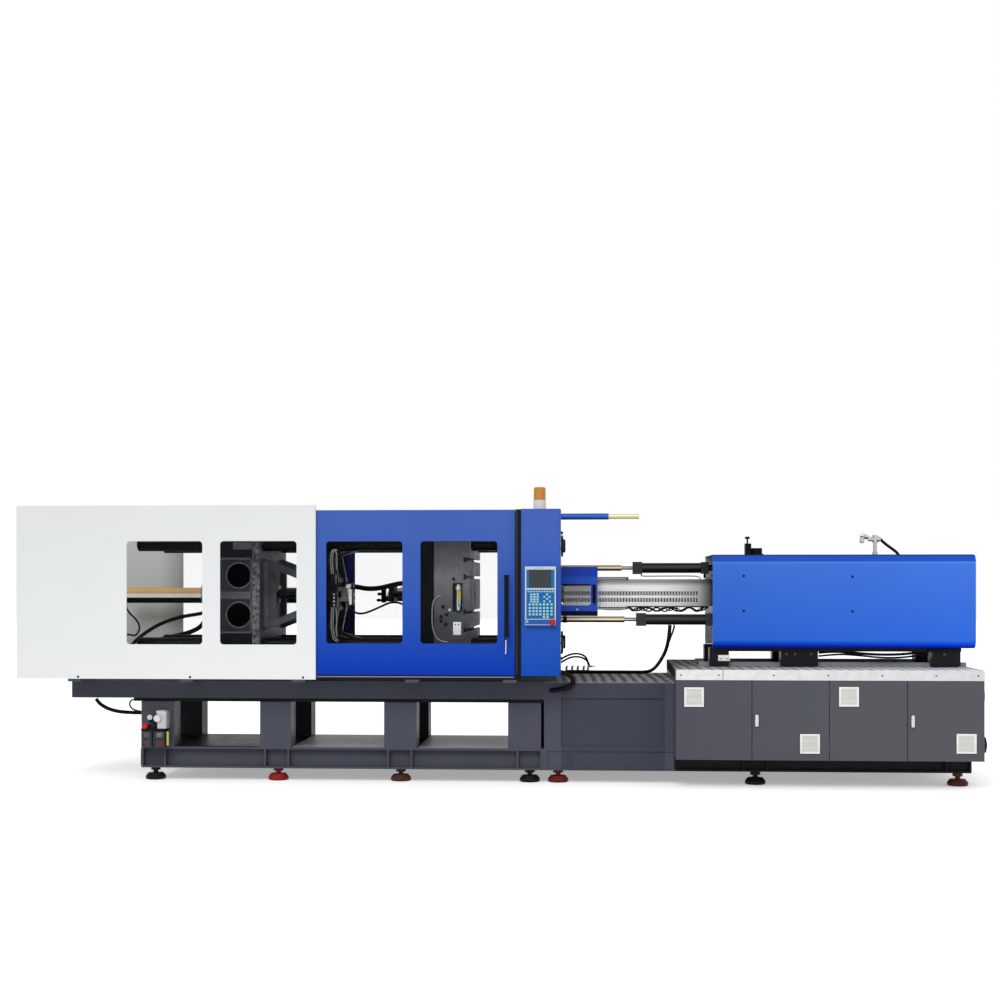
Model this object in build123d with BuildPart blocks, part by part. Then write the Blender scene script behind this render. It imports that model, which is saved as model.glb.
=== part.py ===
from build123d import *
import math
import os

os.makedirs("parts", exist_ok=True)

# Horizontal injection moulding machine with a double toggle clamp
# X runs along the machine to the right, Y to the rear, Z up, floor at zero
# Main lines
axis_z = 1507.0
base_top = 808.0
frame_half = 560.0
skin_half = 870.0
sheet = 4.0
slide_gap = 0.3
pin_gap = 0.05

# Clamp base
base_left = -3463.0
base_joint = 390.0
beam_depth = 120.0
beam_bottom = 666.0
strip_bottom = 639.0
strip_left = -2952.0
column_spans = [(-2887.0, -2618.0), (-1911.0, -1658.0), (-900.0, -637.0), (101.0, 365.0)]
column_depth = 200.0
channel_top = 270.0
channel_bottom = 100.0
channel_recess = 55.0
channel_flange = 16.0
bracket_xs = [-3340.0, -2440.0, -1540.0, -640.0, 130.0]
bracket_half = 54.0
bracket_bottom = 815.0
bracket_top = 838.0
bracket_in = 524.0
foot_xs = [-2790.0, -1776.0, -773.0, 272.0, 500.0, 2070.0, 3656.0]
stiffener_out = 95.0
foot_y = 480.0
foot_pad_r = 82.0
foot_pad_h = 52.0
foot_stem_r = 20.0
foot_nut_r = 40.0
foot_nut_h = 26.0

# Injection base, cabinets and deck
deck_plate = 8.0
cabinet_left = 1425.0
cabinet_right = 3789.0
cabinet_front = 850.0
cabinet_bottom = 225.0
frame_right = 3758.0
cabinet_top = 845.0
cabinet_splits = [1425.0, 2013.0, 2607.0, 3202.0, 3789.0]
cabinet_wall = 6.0
bay_depth = 500.0
upper_deck_top = 925.0
front_panel = (526.0, 1342.0, 292.0, 679.0)

# Platens, tie bars and mould area
tie_r = 57.5
tie_y = 390.0
tie_z = 412.0
tie_left = -2960.0
tie_right = 540.0
platen_half_y = 550.0
platen_half_z = 540.0
mould_face = -207.0
platen_thick = 290.0
fixed_face = 110.0
fixed_thick = 340.0
fixed_back = fixed_face + fixed_thick
slot_pitch = 140.0
slot_neck = 24.0
slot_head = 42.0
slot_neck_depth = 30.0
slot_head_depth = 22.0
ring_r = 80.0
ring_depth = 40.0
sprue_r = 60.0
mould_bolt_r = 10.0
clamp_rail_y = 480.0
clamp_rail_half = 40.0
clamp_rail_top = 838.0

# Toggle clamp
link_length = 425.0
toggle_z = 480.0
toggle_y = 200.0
tail_pin_x = -1510.0
pin_r = 30.0
eye_r = 60.0
plate_half = 27.0
cheek_in = 30.0
cheek_out = 70.0
ear_x = 105.0
ear_z = 127.0
ear_eye_r = 42.0
ear_pin_r = 22.0
crosshead_x = -1360.0
crosshead_pin_z = 116.0
crosshead_half = 50.0
guide_y = 310.0
guide_r = 25.0
rod_r = 40.0
tail_left = -2266.0
tail_mid = -1976.0
tail_right = -1918.0
clamp_cyl_r = 75.0
clamp_bore_r = 60.0
clamp_cyl_left = -2490.0
clamp_cyl_right = -1861.0

# Guards and doors
guard_left = -3811.0
guard_right = -1402.0
guard_bottom = 838.0
guard_top = 2215.0
fold = 25.0
guard_windows = [(-2917.0, -2307.0), (-2165.0, -1553.0)]
window_bottom = 1113.0
window_top = 1931.0
window_r = 28.0
pane_thick = 5.0
pane_lap = 15.0
door_left = -1450.0
door_right = 172.0
door_bottom = 874.0
door_top = 2175.0
door_out = 838.0
door_in = 808.0
door_windows = [(-1323.0, -717.0), (-574.0, 33.0)]
door_window_bottom = 1122.0
door_window_top = 1929.0
handle_x = 109.0
handle_r = 17.0
handle_y = 913.0
handle_span = (1178.0, 1646.0)

# Control pillar
pillar_left = 220.0
pillar_right = 528.0
rear_pillar_right = 478.0
pillar_bottom = 873.0
pillar_top = 2180.0
pillar_in = 620.0
case_box = (252.0, 496.0, 1269.0, 1729.0)
case_out = 905.0
screen_box = (284.0, 459.0, 1562.0, 1706.0)
keypad_box = (256.0, 488.0, 1320.0, 1552.0)
inset = 3.0
button_x = 469.0
button_z = 1292.0
button_r = 24.0
button_stem_r = 11.0
button_travel = 5.0
lamp_x = 271.0
beacon_x = 362.0
beacon_y = 745.0
beacon_r = 49.0
beacon_foot = 74.0
beacon_height = 176.0

# Injection unit
barrel_r = 70.0
screw_r = 35.0
nozzle_tip = 230.0
carriage_stroke_in = 85.0
carriage_plate_x = 1800.0
cover_lip = 1738.0
cover_left = 1822.0
cover_right = 3811.0
cover_half = 480.0
cover_bottom = 1081.0
cover_top = 1827.0
cover_band = 55.0
band_in = 24.0
jacket_left = fixed_back + carriage_stroke_in + 5
jacket_half_y = 170.0
jacket_top = 1632.0
jacket_bottom = 1410.0
jacket_bend = 46.0
rod_y = 290.0
upper_rod_z = 1728.0
lower_rod_z = 1303.0
carriage_rod_r = 15.0
sleeve_r = 24.0
carriage_cyl_r = 43.0
upper_cyl_left = 1113.0
lower_cyl_left = 1130.0
rail_y = 300.0
rail_half = 30.0
rail_top = 961.0
saddle_bottom = 1050.0
hood_left = 519.0
hood_right = 817.0
hood_half = 330.0
hood_flat = 225.0
hood_top = 1732.0
hood_bend = 1653.0
hood_low = 1370.0
hood_bottom = 1329.0
hood_rail_zs = [1636.0, 1391.0]
hood_rail_size = 16.0
hood_rail_out = 322.0


def slab(x0, x1, y0, y1, z0, z1, mode=Mode.ADD):
    with Locations(((x0 + x1) / 2, (y0 + y1) / 2, (z0 + z1) / 2)):
        Box(x1 - x0, y1 - y0, z1 - z0, mode=mode)


def twin(x0, x1, y_in, y_out, z0, z1, mode=Mode.ADD):
    slab(x0, x1, y_in, y_out, z0, z1, mode)
    slab(x0, x1, -y_out, -y_in, z0, z1, mode)


def bar_x(x0, x1, y, z, r, mode=Mode.ADD):
    with Locations(((x0 + x1) / 2, y, z)):
        Cylinder(r, x1 - x0, rotation=(0, 90, 0), mode=mode)


def bar_y(y0, y1, x, z, r, mode=Mode.ADD):
    with Locations((x, (y0 + y1) / 2, z)):
        Cylinder(r, y1 - y0, rotation=(90, 0, 0), mode=mode)


def bar_z(z0, z1, x, y, r, mode=Mode.ADD):
    with Locations((x, y, (z0 + z1) / 2)):
        Cylinder(r, z1 - z0, mode=mode)


def prism_y(points, y0, y1, mode=Mode.ADD):
    with BuildSketch(Plane.XZ.offset(-y1)) as profile:
        with BuildLine():
            Polyline(*points, close=True)
        make_face()
    extrude(profile.sketch, amount=y1 - y0, mode=mode)


def prism_x(points, x0, x1, mode=Mode.ADD):
    with BuildSketch(Plane.YZ.offset(x0)) as profile:
        with BuildLine():
            Polyline(*points, close=True)
        make_face()
    extrude(profile.sketch, amount=x1 - x0, mode=mode)


def window(x0, x1, z0, z1, y0, y1, r, mode=Mode.SUBTRACT):
    with BuildSketch(Plane.XZ.offset(-y1)) as profile:
        with Locations(((x0 + x1) / 2, (z0 + z1) / 2)):
            RectangleRounded(x1 - x0, z1 - z0, r)
    extrude(profile.sketch, amount=y1 - y0, mode=mode)


def link_plate(eyes, y0, y1, mode=Mode.ADD):
    with BuildSketch(Plane.XZ.offset(-y1)) as profile:
        for x, z, r in eyes:
            with Locations((x, z)):
                Circle(r)
        make_hull()
    extrude(profile.sketch, amount=y1 - y0, mode=mode)


def save(piece, name):
    piece.part.label = name
    export_step(piece.part, "parts/" + name + ".step")


# Welded clamp base
beam_in = frame_half - beam_depth
with BuildPart() as clamp_base:
    twin(base_left, base_joint, beam_in, frame_half, beam_bottom, base_top)
    twin(strip_left, base_joint, beam_in + 20, frame_half - 12, strip_bottom, beam_bottom)
    for x0, x1 in column_spans:
        twin(x0, x1, frame_half - column_depth, frame_half, channel_top, strip_bottom)
        mid = (x0 + x1) / 2
        slab(mid - 60, mid + 60, -beam_in, beam_in, beam_bottom, base_top - 20)
        slab(mid - 60, mid + 60, -beam_in, beam_in, channel_bottom, channel_top)
    first_x = column_spans[0][0]
    twin(first_x, base_joint, beam_in, frame_half, channel_bottom, channel_top)
    twin(
        first_x + channel_flange, base_joint - channel_flange,
        frame_half - channel_recess, frame_half,
        channel_bottom + channel_flange, channel_top - channel_flange, Mode.SUBTRACT,
    )
    for x in foot_xs[:4]:
        for dx in (-stiffener_out, stiffener_out):
            twin(
                x + dx - 8, x + dx + 8, frame_half - channel_recess, frame_half,
                channel_bottom + channel_flange, channel_top - channel_flange,
            )
    slab(base_left, base_left + 100, -beam_in, beam_in, beam_bottom, base_top - 20)
    for x in bracket_xs:
        reach = skin_half - sheet if x < guard_right else 842.0
        twin(x - bracket_half, x + bracket_half, frame_half, reach, bracket_bottom, bracket_top)
        inner = bracket_in if x + bracket_half < fixed_face else platen_half_y + slide_gap
        twin(x - bracket_half, x + bracket_half, inner, frame_half + 8, base_top, bracket_top)
save(clamp_base, "clamp_base")

# Drip pans between the columns
with BuildPart() as clamp_pans:
    for (a0, a1), (b0, b1) in zip(column_spans[:-1], column_spans[1:]):
        slab(a1 + 4, b0 - 4, -frame_half + 30, frame_half - 30, channel_top, channel_top + 4)
        twin(a1 + 4, b0 - 4, beam_in - 8, beam_in - 4, channel_top - 30, channel_top)
save(clamp_pans, "clamp_pans")

# Injection base frame under the nozzle
panel_x0, panel_x1, panel_z0, panel_z1 = front_panel
with BuildPart() as injection_base:
    slab(base_joint, cabinet_left, -frame_half, skin_half, channel_bottom, base_top - deck_plate)
    slab(
        base_joint + 12, cabinet_left - 12, -frame_half + 40, skin_half - 12,
        channel_bottom + 12, base_top - deck_plate, Mode.SUBTRACT,
    )
    window(
        panel_x0, panel_x1, panel_z0, panel_z1, -frame_half, -frame_half + 14, 6.0,
    )
    slab(cabinet_left - 12, cabinet_left, -frame_half, skin_half, channel_bottom, channel_top)
    twin(cabinet_left, frame_right, frame_half - 60, frame_half, channel_bottom, cabinet_bottom)
    flange = channel_flange
    slab(
        base_joint + flange, cabinet_left, -frame_half, -frame_half + 10,
        channel_bottom + flange, channel_top - flange, Mode.SUBTRACT,
    )
    twin(
        cabinet_left, frame_right - flange, frame_half - 40, frame_half,
        channel_bottom + flange, cabinet_bottom - flange, Mode.SUBTRACT,
    )
    for x in foot_xs[4:]:
        deep = 10 if x < cabinet_left else 40
        rib_top = (channel_top if x < cabinet_left else cabinet_bottom) - flange
        for dx in (-stiffener_out, stiffener_out):
            slab(
                x + dx - 8, x + dx + 8, -frame_half, -frame_half + deep,
                channel_bottom + flange, rib_top,
            )
            if x > cabinet_left:
                slab(
                    x + dx - 8, x + dx + 8, frame_half - deep, frame_half,
                    channel_bottom + flange, rib_top,
                )
save(injection_base, "injection_base")

# Levelling feet under both frames
with BuildPart() as levelling_feet:
    for x in foot_xs:
        seat = channel_bottom
        for y in (-foot_y, foot_y):
            if x > cabinet_left:
                y = math.copysign(frame_half - 30, y)
            with BuildSketch(Plane.XZ):
                with BuildLine():
                    Polyline(
                        (0, 0), (foot_pad_r - 8, 0), (foot_pad_r, 8), (foot_pad_r, foot_pad_h * 0.5),
                        (foot_pad_r * 0.75, foot_pad_h), (foot_stem_r, foot_pad_h),
                        (foot_stem_r, seat), (0, seat), close=True,
                    )
                make_face()
            pad = revolve(axis=Axis.Z, mode=Mode.PRIVATE)
            with Locations((x, y, 0)):
                add(pad)
            with BuildSketch(Plane.XY.offset(seat - foot_nut_h)):
                with Locations((x, y)):
                    RegularPolygon(foot_nut_r, 6)
            extrude(amount=foot_nut_h)
save(levelling_feet, "levelling_feet")

# Lower and upper deck of chequer plate with its aprons
with BuildPart() as deck:
    slab(base_joint, cabinet_left, -frame_half, skin_half, base_top - deck_plate, base_top)
    slab(cabinet_left, cabinet_right, -skin_half, skin_half, upper_deck_top - deck_plate, upper_deck_top)
    slab(cabinet_left, cabinet_right, -skin_half, -skin_half + 8, cabinet_top, upper_deck_top)
    slab(cabinet_left, cabinet_right, skin_half - 8, skin_half, cabinet_top, upper_deck_top)
    slab(cabinet_left, cabinet_left + 8, -skin_half, skin_half, cabinet_top, upper_deck_top)
    slab(cabinet_right - 8, cabinet_right, -skin_half, skin_half, cabinet_top, upper_deck_top)
    for x in (2200.0, 3000.0):
        slab(x, x + 60, -skin_half, skin_half, cabinet_top, upper_deck_top)
save(deck, "deck")

# Fixed platen casting
with BuildPart() as fixed_platen:
    slab(
        fixed_face, fixed_back, -platen_half_y, platen_half_y,
        axis_z - platen_half_z, axis_z + platen_half_z,
    )
    chamfer(fixed_platen.edges().filter_by(Axis.X), 45)
    twin(fixed_face, fixed_back, 300, platen_half_y, base_top, axis_z - platen_half_z + 60)
    for sy in (-1, 1):
        for sz in (-1, 1):
            bar_x(fixed_face, fixed_back, sy * tie_y, axis_z + sz * tie_z, tie_r, Mode.SUBTRACT)
    bar_x(fixed_face, fixed_back, 0, axis_z, sprue_r, Mode.SUBTRACT)
    bar_x(fixed_face, fixed_face + ring_depth, 0, axis_z, ring_r, Mode.SUBTRACT)
    with Locations(Location((fixed_back - 90, 0, axis_z), (0, 90, 0))):
        Cone(sprue_r, 150, 180, mode=Mode.SUBTRACT)
    for sy in (-1, 1):
        for sz in (-1, 1):
            for my, mz in ((105, 210), (245, 140), (245, 280)):
                bar_x(
                    fixed_face, fixed_face + 45, sy * my, axis_z + sz * mz,
                    mould_bolt_r, Mode.SUBTRACT,
                )
    for sy in (-1, 1):
        y_a, y_b = sorted((sy * (platen_half_y - 30), sy * platen_half_y))
        slab(fixed_face + 60, fixed_back - 60, y_a, y_b, axis_z - 260, axis_z + 260, Mode.SUBTRACT)
save(fixed_platen, "fixed_platen")

# Tie bars and their nuts on the fixed platen
with BuildPart() as tie_bars:
    for sy in (-1, 1):
        for sz in (-1, 1):
            bar_x(tie_left, tie_right, sy * tie_y, axis_z + sz * tie_z, tie_r)
    chamfer(tie_bars.edges().filter_by(GeomType.CIRCLE), 6)
save(tie_bars, "tie_bars")

nut_r = 92.0
nut_h = 70.0
with BuildPart() as tie_bar_nuts:
    for sy in (-1, 1):
        for sz in (-1, 1):
            bar_x(fixed_back, fixed_back + nut_h, sy * tie_y, axis_z + sz * tie_z, nut_r)
            bar_x(
                fixed_back, fixed_back + nut_h, sy * tie_y, axis_z + sz * tie_z, tie_r,
                Mode.SUBTRACT,
            )
save(tie_bar_nuts, "tie_bar_nuts")

# Ground rails of the moving platen, the injection carriage and the purge guard
with BuildPart() as slide_rails:
    twin(
        -2760, fixed_face - 20, clamp_rail_y - clamp_rail_half, clamp_rail_y + clamp_rail_half,
        base_top, clamp_rail_top,
    )
    twin(1640, cabinet_right - 20, rail_y - rail_half, rail_y + rail_half, upper_deck_top, rail_top)
    for z in hood_rail_zs:
        twin(
            fixed_back, 1048, hood_rail_out - hood_rail_size, hood_rail_out,
            z - hood_rail_size / 2, z + hood_rail_size / 2,
        )
save(slide_rails, "slide_rails")

# White fixed guards round the toggle
guard_in = skin_half - fold
with BuildPart() as fixed_guards:
    for s in (-1, 1):
        y_out, y_in = s * skin_half, s * guard_in
        y_a, y_b = min(y_out, y_in), max(y_out, y_in)
        slab(guard_left, guard_right, y_a, y_b, guard_bottom, guard_top)
        c_a, c_b = (y_a + sheet, y_b) if s < 0 else (y_a, y_b - sheet)
        slab(
            guard_left + sheet, guard_right - sheet, c_a, c_b,
            guard_bottom + sheet, guard_top - sheet, Mode.SUBTRACT,
        )
        for x0, x1 in guard_windows:
            window(x0, x1, window_bottom, window_top, y_a, y_b, window_r)
    slab(guard_left, guard_left + sheet, -skin_half, skin_half, guard_bottom, guard_top)
save(fixed_guards, "fixed_guards")

# Clear panes of the fixed guards
with BuildPart() as guard_panes:
    for x0, x1 in guard_windows:
        pane_in = skin_half - sheet - pane_thick
        twin(
            x0 - pane_lap, x1 + pane_lap, pane_in, skin_half - sheet,
            window_bottom - pane_lap, window_top + pane_lap,
        )
save(guard_panes, "guard_panes")

# Top and bottom rails of the sliding doors with the dark jamb at the pillar
hang_in = 772.0
hang_out = 798.0
with BuildPart() as door_rails:
    twin(-2760, pillar_left, hang_in, hang_out, 2110, 2165)
    twin(-2760, pillar_left - 2, 800, 842, bracket_top, door_bottom - slide_gap)
    for x in (-2760.0, -2150.0, -1500.0):
        twin(x, x + 40, hang_in, hang_out, 2165, door_top + 6)
        twin(x, x + 40, hang_in, skin_half - sheet, door_top + 6, door_top + 14)
    for s in (-1, 1):
        for x0, x1, y0, y1 in ((176, 196, 850, 866), (196, 220, 850, 856), (208, 220, 810, 850)):
            y_a, y_b = min(s * y0, s * y1), max(s * y0, s * y1)
            slab(x0, x1, y_a, y_b, pillar_bottom + 3, pillar_top - 3)
save(door_rails, "door_rails")

# Blue control pillar and its twin at the rear
pillar_wall = 5.0
with BuildPart() as pillars:
    for s, right in ((-1, pillar_right), (1, rear_pillar_right)):
        y_a, y_b = sorted((s * pillar_in, s * skin_half))
        slab(pillar_left, right, y_a, y_b, pillar_bottom, pillar_top)
        y_a, y_b = sorted((s * pillar_in, s * (skin_half - pillar_wall)))
        slab(
            pillar_left + pillar_wall, right - pillar_wall, y_a, y_b,
            pillar_bottom + pillar_wall, pillar_top - pillar_wall, Mode.SUBTRACT,
        )
    for z in (1010.0, 1960.0):
        twin(pillar_left + 10, pillar_left + 110, platen_half_y, pillar_in + 60, z, z + 12)
        twin(pillar_left, pillar_left + 110, pillar_in + 54, pillar_in + 60, z - 60, z + 72)
    chamfer(
        pillars.edges().filter_by(Axis.Z).filter_by(
            lambda e: abs(abs(e.center().Y) - skin_half) < 1
        ), 8,
    )
save(pillars, "pillars")

# Controller case, screen and keypad on the pillar
case_x0, case_x1, case_z0, case_z1 = case_box
with BuildPart() as controller_case:
    window(case_x0, case_x1, case_z0, case_z1, -case_out, -skin_half, 10.0, Mode.ADD)
    for x0, x1, z0, z1 in (screen_box, keypad_box):
        slab(x0, x1, -case_out, -case_out + inset, z0, z1, Mode.SUBTRACT)
    bar_y(
        -case_out, -skin_half - 4, button_x, button_z, button_stem_r + pin_gap, Mode.SUBTRACT,
    )
    bar_y(-case_out - 3, -case_out, lamp_x, button_z + 6, 6)
save(controller_case, "controller_case")

with BuildPart() as controller_screen:
    x0, x1, z0, z1 = screen_box
    slab(x0, x1, -case_out, -case_out + inset, z0, z1)
save(controller_screen, "controller_screen")

with BuildPart() as keypad:
    x0, x1, z0, z1 = keypad_box
    slab(x0, x1, -case_out, -case_out + inset, z0, z1)
save(keypad, "keypad")

# Mushroom emergency button
stem_in = skin_half + 4 + button_travel + 1
with BuildPart() as stop_button:
    with BuildSketch(Plane.XY):
        with BuildLine():
            Polyline(
                (0, stem_in), (button_stem_r, stem_in), (button_stem_r, case_out + 8),
                (button_r, case_out + 8), (button_r, case_out + 15), (button_r - 7, case_out + 23),
                (0, case_out + 23), close=True,
            )
        make_face()
    turned = revolve(axis=Axis.Y, mode=Mode.PRIVATE)
    with Locations(Location((button_x, 0, button_z), (0, 0, 180))):
        add(turned)
save(stop_button, "stop_button")

# Signal beacon on the pillar
with BuildPart() as beacon_base:
    bar_z(pillar_top, pillar_top + beacon_foot, beacon_x, -beacon_y, beacon_r)
    bar_z(pillar_top, pillar_top + beacon_foot + 50, beacon_x, -beacon_y, 20)
save(beacon_base, "beacon_base")

with BuildPart() as beacon_dome:
    bar_z(pillar_top + beacon_foot, pillar_top + beacon_height, beacon_x, -beacon_y, beacon_r - 2)
    fillet(beacon_dome.edges().group_by(Axis.Z)[-1], 14)
    bar_z(
        pillar_top + beacon_foot, pillar_top + beacon_height - 6, beacon_x, -beacon_y,
        beacon_r - 8, Mode.SUBTRACT,
    )
save(beacon_dome, "beacon_dome")

# Mechanical safety bar tube over the fixed platen
bar_y_pos = -300.0
bar_z_pos = 2142.0
safety_r = 21.0
tube_left = 130.0
tube_right = 906.0
with BuildPart() as safety_bar_tube:
    slab(
        tube_left, fixed_back - 20, bar_y_pos - 40, bar_y_pos + 40,
        axis_z + platen_half_z, bar_z_pos,
    )
    bar_x(tube_left, tube_right, bar_y_pos, bar_z_pos, safety_r + 4.5)
    bar_x(tube_left, tube_right, bar_y_pos, bar_z_pos, safety_r + slide_gap, Mode.SUBTRACT)
save(safety_bar_tube, "safety_bar_tube")

# Carriage rods with their spacer sleeves
piston_r = carriage_cyl_r - 8
cyl_bore_end = carriage_plate_x - 60
piston_right = cyl_bore_end - carriage_stroke_in - 15
with BuildPart() as carriage_rods:
    for y, z, head in ((rod_y, upper_rod_z, upper_cyl_left), (-rod_y, lower_rod_z, lower_cyl_left)):
        bar_x(fixed_back, fixed_back + 22, y, z, 38)
        bar_x(fixed_back, head - 94, y, z, sleeve_r)
        bar_x(fixed_back, piston_right, y, z, carriage_rod_r)
        bar_x(piston_right - 40, piston_right, y, z, piston_r - slide_gap)
save(carriage_rods, "carriage_rods")

# Control cabinets and rear tank housing
with BuildPart() as cabinet_shell:
    slab(cabinet_left, cabinet_right, -cabinet_front, skin_half, cabinet_bottom, cabinet_top)
    for x0, x1 in zip(cabinet_splits[:-1], cabinet_splits[1:]):
        slab(
            x0 + cabinet_wall, x1 - cabinet_wall, -cabinet_front, -cabinet_front + bay_depth,
            cabinet_bottom + cabinet_wall, cabinet_top - cabinet_wall, Mode.SUBTRACT,
        )
    slab(
        cabinet_left + cabinet_wall, cabinet_right - cabinet_wall,
        -cabinet_front + bay_depth + cabinet_wall, skin_half - cabinet_wall,
        cabinet_bottom + cabinet_wall, cabinet_top, Mode.SUBTRACT,
    )
    back = -cabinet_front + bay_depth
    for x0, x1 in zip(cabinet_splits[:-1], cabinet_splits[1:]):
        slab(x0 + 60, x1 - 60, back - 12, back, cabinet_bottom + 50, cabinet_top - 50)
        slab(x0 + 90, x0 + 300, back - 160, back - 12, cabinet_bottom + 260, cabinet_top - 90)
        slab(x0 + 340, x1 - 100, back - 110, back - 12, cabinet_bottom + 300, cabinet_top - 120)
        slab(x0 + 90, x1 - 100, back - 80, back - 12, cabinet_bottom + 100, cabinet_bottom + 180)
save(cabinet_shell, "cabinet_shell")

# Cabinet doors with louvred vents
door_gap = 3.0
door_back = cabinet_front + slide_gap
door_handle_xs = {1: 2049.0, 3: 3241.0}
swing_z = 534.0
vents = [(1490.0, 637.0), (2381.0, 279.0), (2679.0, 644.0), (3572.0, 287.0)]
vent_size = 152.0
hinge_r = 2.6
hinge_half = 35.0
hinge_zs = [cabinet_bottom + 110, cabinet_top - 115]
cabinet_door_bottom = cabinet_bottom
cabinet_door_top = cabinet_top - door_gap
for number in range(4):
    door_x0 = cabinet_splits[number] + door_gap
    door_x1 = cabinet_splits[number + 1] - door_gap
    with BuildPart() as cabinet_door:
        slab(
            door_x0, door_x1, -skin_half, -door_back, cabinet_door_bottom, cabinet_door_top,
        )
        slab(
            door_x0 + 3, door_x1 - 3, -skin_half + 3, -door_back,
            cabinet_door_bottom + 3, cabinet_door_top - 3, Mode.SUBTRACT,
        )
        vx, vz = vents[number]
        slab(vx, vx + vent_size, -skin_half - 5, -skin_half, vz, vz + vent_size)
        for row in range(6):
            z = vz + 19 + row * 21
            slab(
                vx + 14, vx + vent_size - 14, -skin_half - 5, -skin_half + 3, z, z + 9,
                Mode.SUBTRACT,
            )
        if number in door_handle_xs:
            bar_y(
                -skin_half, -skin_half + 3, door_handle_xs[number], swing_z, 8 + pin_gap,
                Mode.SUBTRACT,
            )
        hinge_x = door_x1 if number in door_handle_xs else door_x0
        for z in hinge_zs:
            bar_z(z - hinge_half, z + hinge_half, hinge_x, -skin_half, hinge_r)
    save(cabinet_door, "cabinet_door_" + str(number + 1))

# Swing handles of the cabinets
for number, x in door_handle_xs.items():
    with BuildPart() as swing_handle:
        bar_y(-skin_half - 1, -door_back - 8, x, swing_z, 8)
        bar_y(-skin_half - 12, -skin_half - slide_gap, x, swing_z, 14)
        slab(x - 12, x + 12, -skin_half - 22, -skin_half - 10, swing_z - 46, swing_z + 46)
        fillet(swing_handle.edges().filter_by(Axis.Y).filter_by(
            lambda e: abs(abs(e.center().Z - swing_z) - 46) < 1
        ), 8)
        slab(x - 10, x + 10, -door_back - 12, -door_back - 8, swing_z - 10, swing_z + 26)
    save(swing_handle, "cabinet_handle_" + str((number + 1) // 2))

# Round fan guard on the right end wall
with BuildPart() as end_fan:
    bar_x(cabinet_right, cabinet_right + 20, -785, 347, 62)
    bar_x(cabinet_right, cabinet_right + 30, -785, 347, 30)
save(end_fan, "end_fan")

# Lubrication pump with its tanks on the first column
lube_x = -2780.0
with BuildPart() as lube_unit:
    slab(lube_x, lube_x + 115, -frame_half - 120, -frame_half, 430, 565)
    slab(lube_x - 50, lube_x + 95, -frame_half - 110, -frame_half, 400, 430)
    bar_y(-frame_half - 135, -frame_half - 120, lube_x - 2, 500, 42)
    slab(lube_x - 30, lube_x, -frame_half - 120, -frame_half, 450, 550)
    slab(lube_x - 95, lube_x - 20, -frame_half - 100, -frame_half, 272, 400)
    slab(lube_x - 10, lube_x + 85, -frame_half - 100, -frame_half, 272, 400)
    bar_z(400, 445, lube_x - 62, -frame_half - 50, 26)
save(lube_unit, "lube_unit")

# Cable tray along the rear of the clamp
tray_left = -3379.0
tray_right = -1430.0
with BuildPart() as cable_tray:
    slab(tray_left, tray_right, 640, 700, 1424, 1430)
    slab(tray_left, tray_right, 640, 644, 1430, 1560)
    slab(tray_left, tray_right, 696, 700, 1430, 1470)
    slab(tray_right, tray_right + 24, 636, 704, 1418, 1570)
    for x in bracket_xs[1:3]:
        slab(x - 20, x + 20, 650, 690, bracket_top, 1424)
save(cable_tray, "cable_tray")

# Sliding doors on both sides, the rear one standing a little further left
rear_shift = -28.0
for side, side_name, shift in ((-1, "front", 0.0), (1, "rear", rear_shift)):
    out, inn = side * door_out, side * door_in
    y_a, y_b = min(out, inn), max(out, inn)
    skin = side * (door_out - sheet)
    left, right = door_left + shift, door_right + shift
    with BuildPart() as sliding_door:
        slab(left, right, y_a, y_b, door_bottom, door_top)
        c_a, c_b = min(skin, inn), max(skin, inn)
        slab(
            left + sheet, right - sheet, c_a, c_b,
            door_bottom + sheet, door_top - sheet, Mode.SUBTRACT,
        )
        for x0, x1 in door_windows:
            window(
                x0 + shift, x1 + shift, door_window_bottom, door_window_top, y_a, y_b, window_r,
            )
        h_a, h_b = sorted((skin, side * (hang_out + slide_gap)))
        for x in (left + 200, right - 272):
            slab(x - 40, x + 40, h_a, h_b, 2115, 2160)
    save(sliding_door, side_name + "_door")

    p_a, p_b = sorted((skin, side * (door_out - sheet - pane_thick)))
    with BuildPart() as door_panes:
        for x0, x1 in door_windows:
            slab(
                x0 + shift - pane_lap, x1 + shift + pane_lap, p_a, p_b,
                door_window_bottom - pane_lap, door_window_top + pane_lap,
            )
    save(door_panes, side_name + "_door_panes")

    z0, z1 = handle_span
    grip = side * handle_y
    grip_x = handle_x + shift
    with BuildPart() as door_handle:
        bar_z(z0, z1, grip_x, grip, handle_r)
        fillet(door_handle.edges().filter_by(GeomType.CIRCLE), 6)
        for z in (z0 + 20, z1 - 20):
            s_a, s_b = sorted((side * door_out, grip))
            bar_y(s_a, s_b, grip_x, z, 12)
        bar_z(z0 - 118, z0 + 6, grip_x - 11, side * (handle_y - 2), 5)
    save(door_handle, side_name + "_door_handle")

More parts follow.
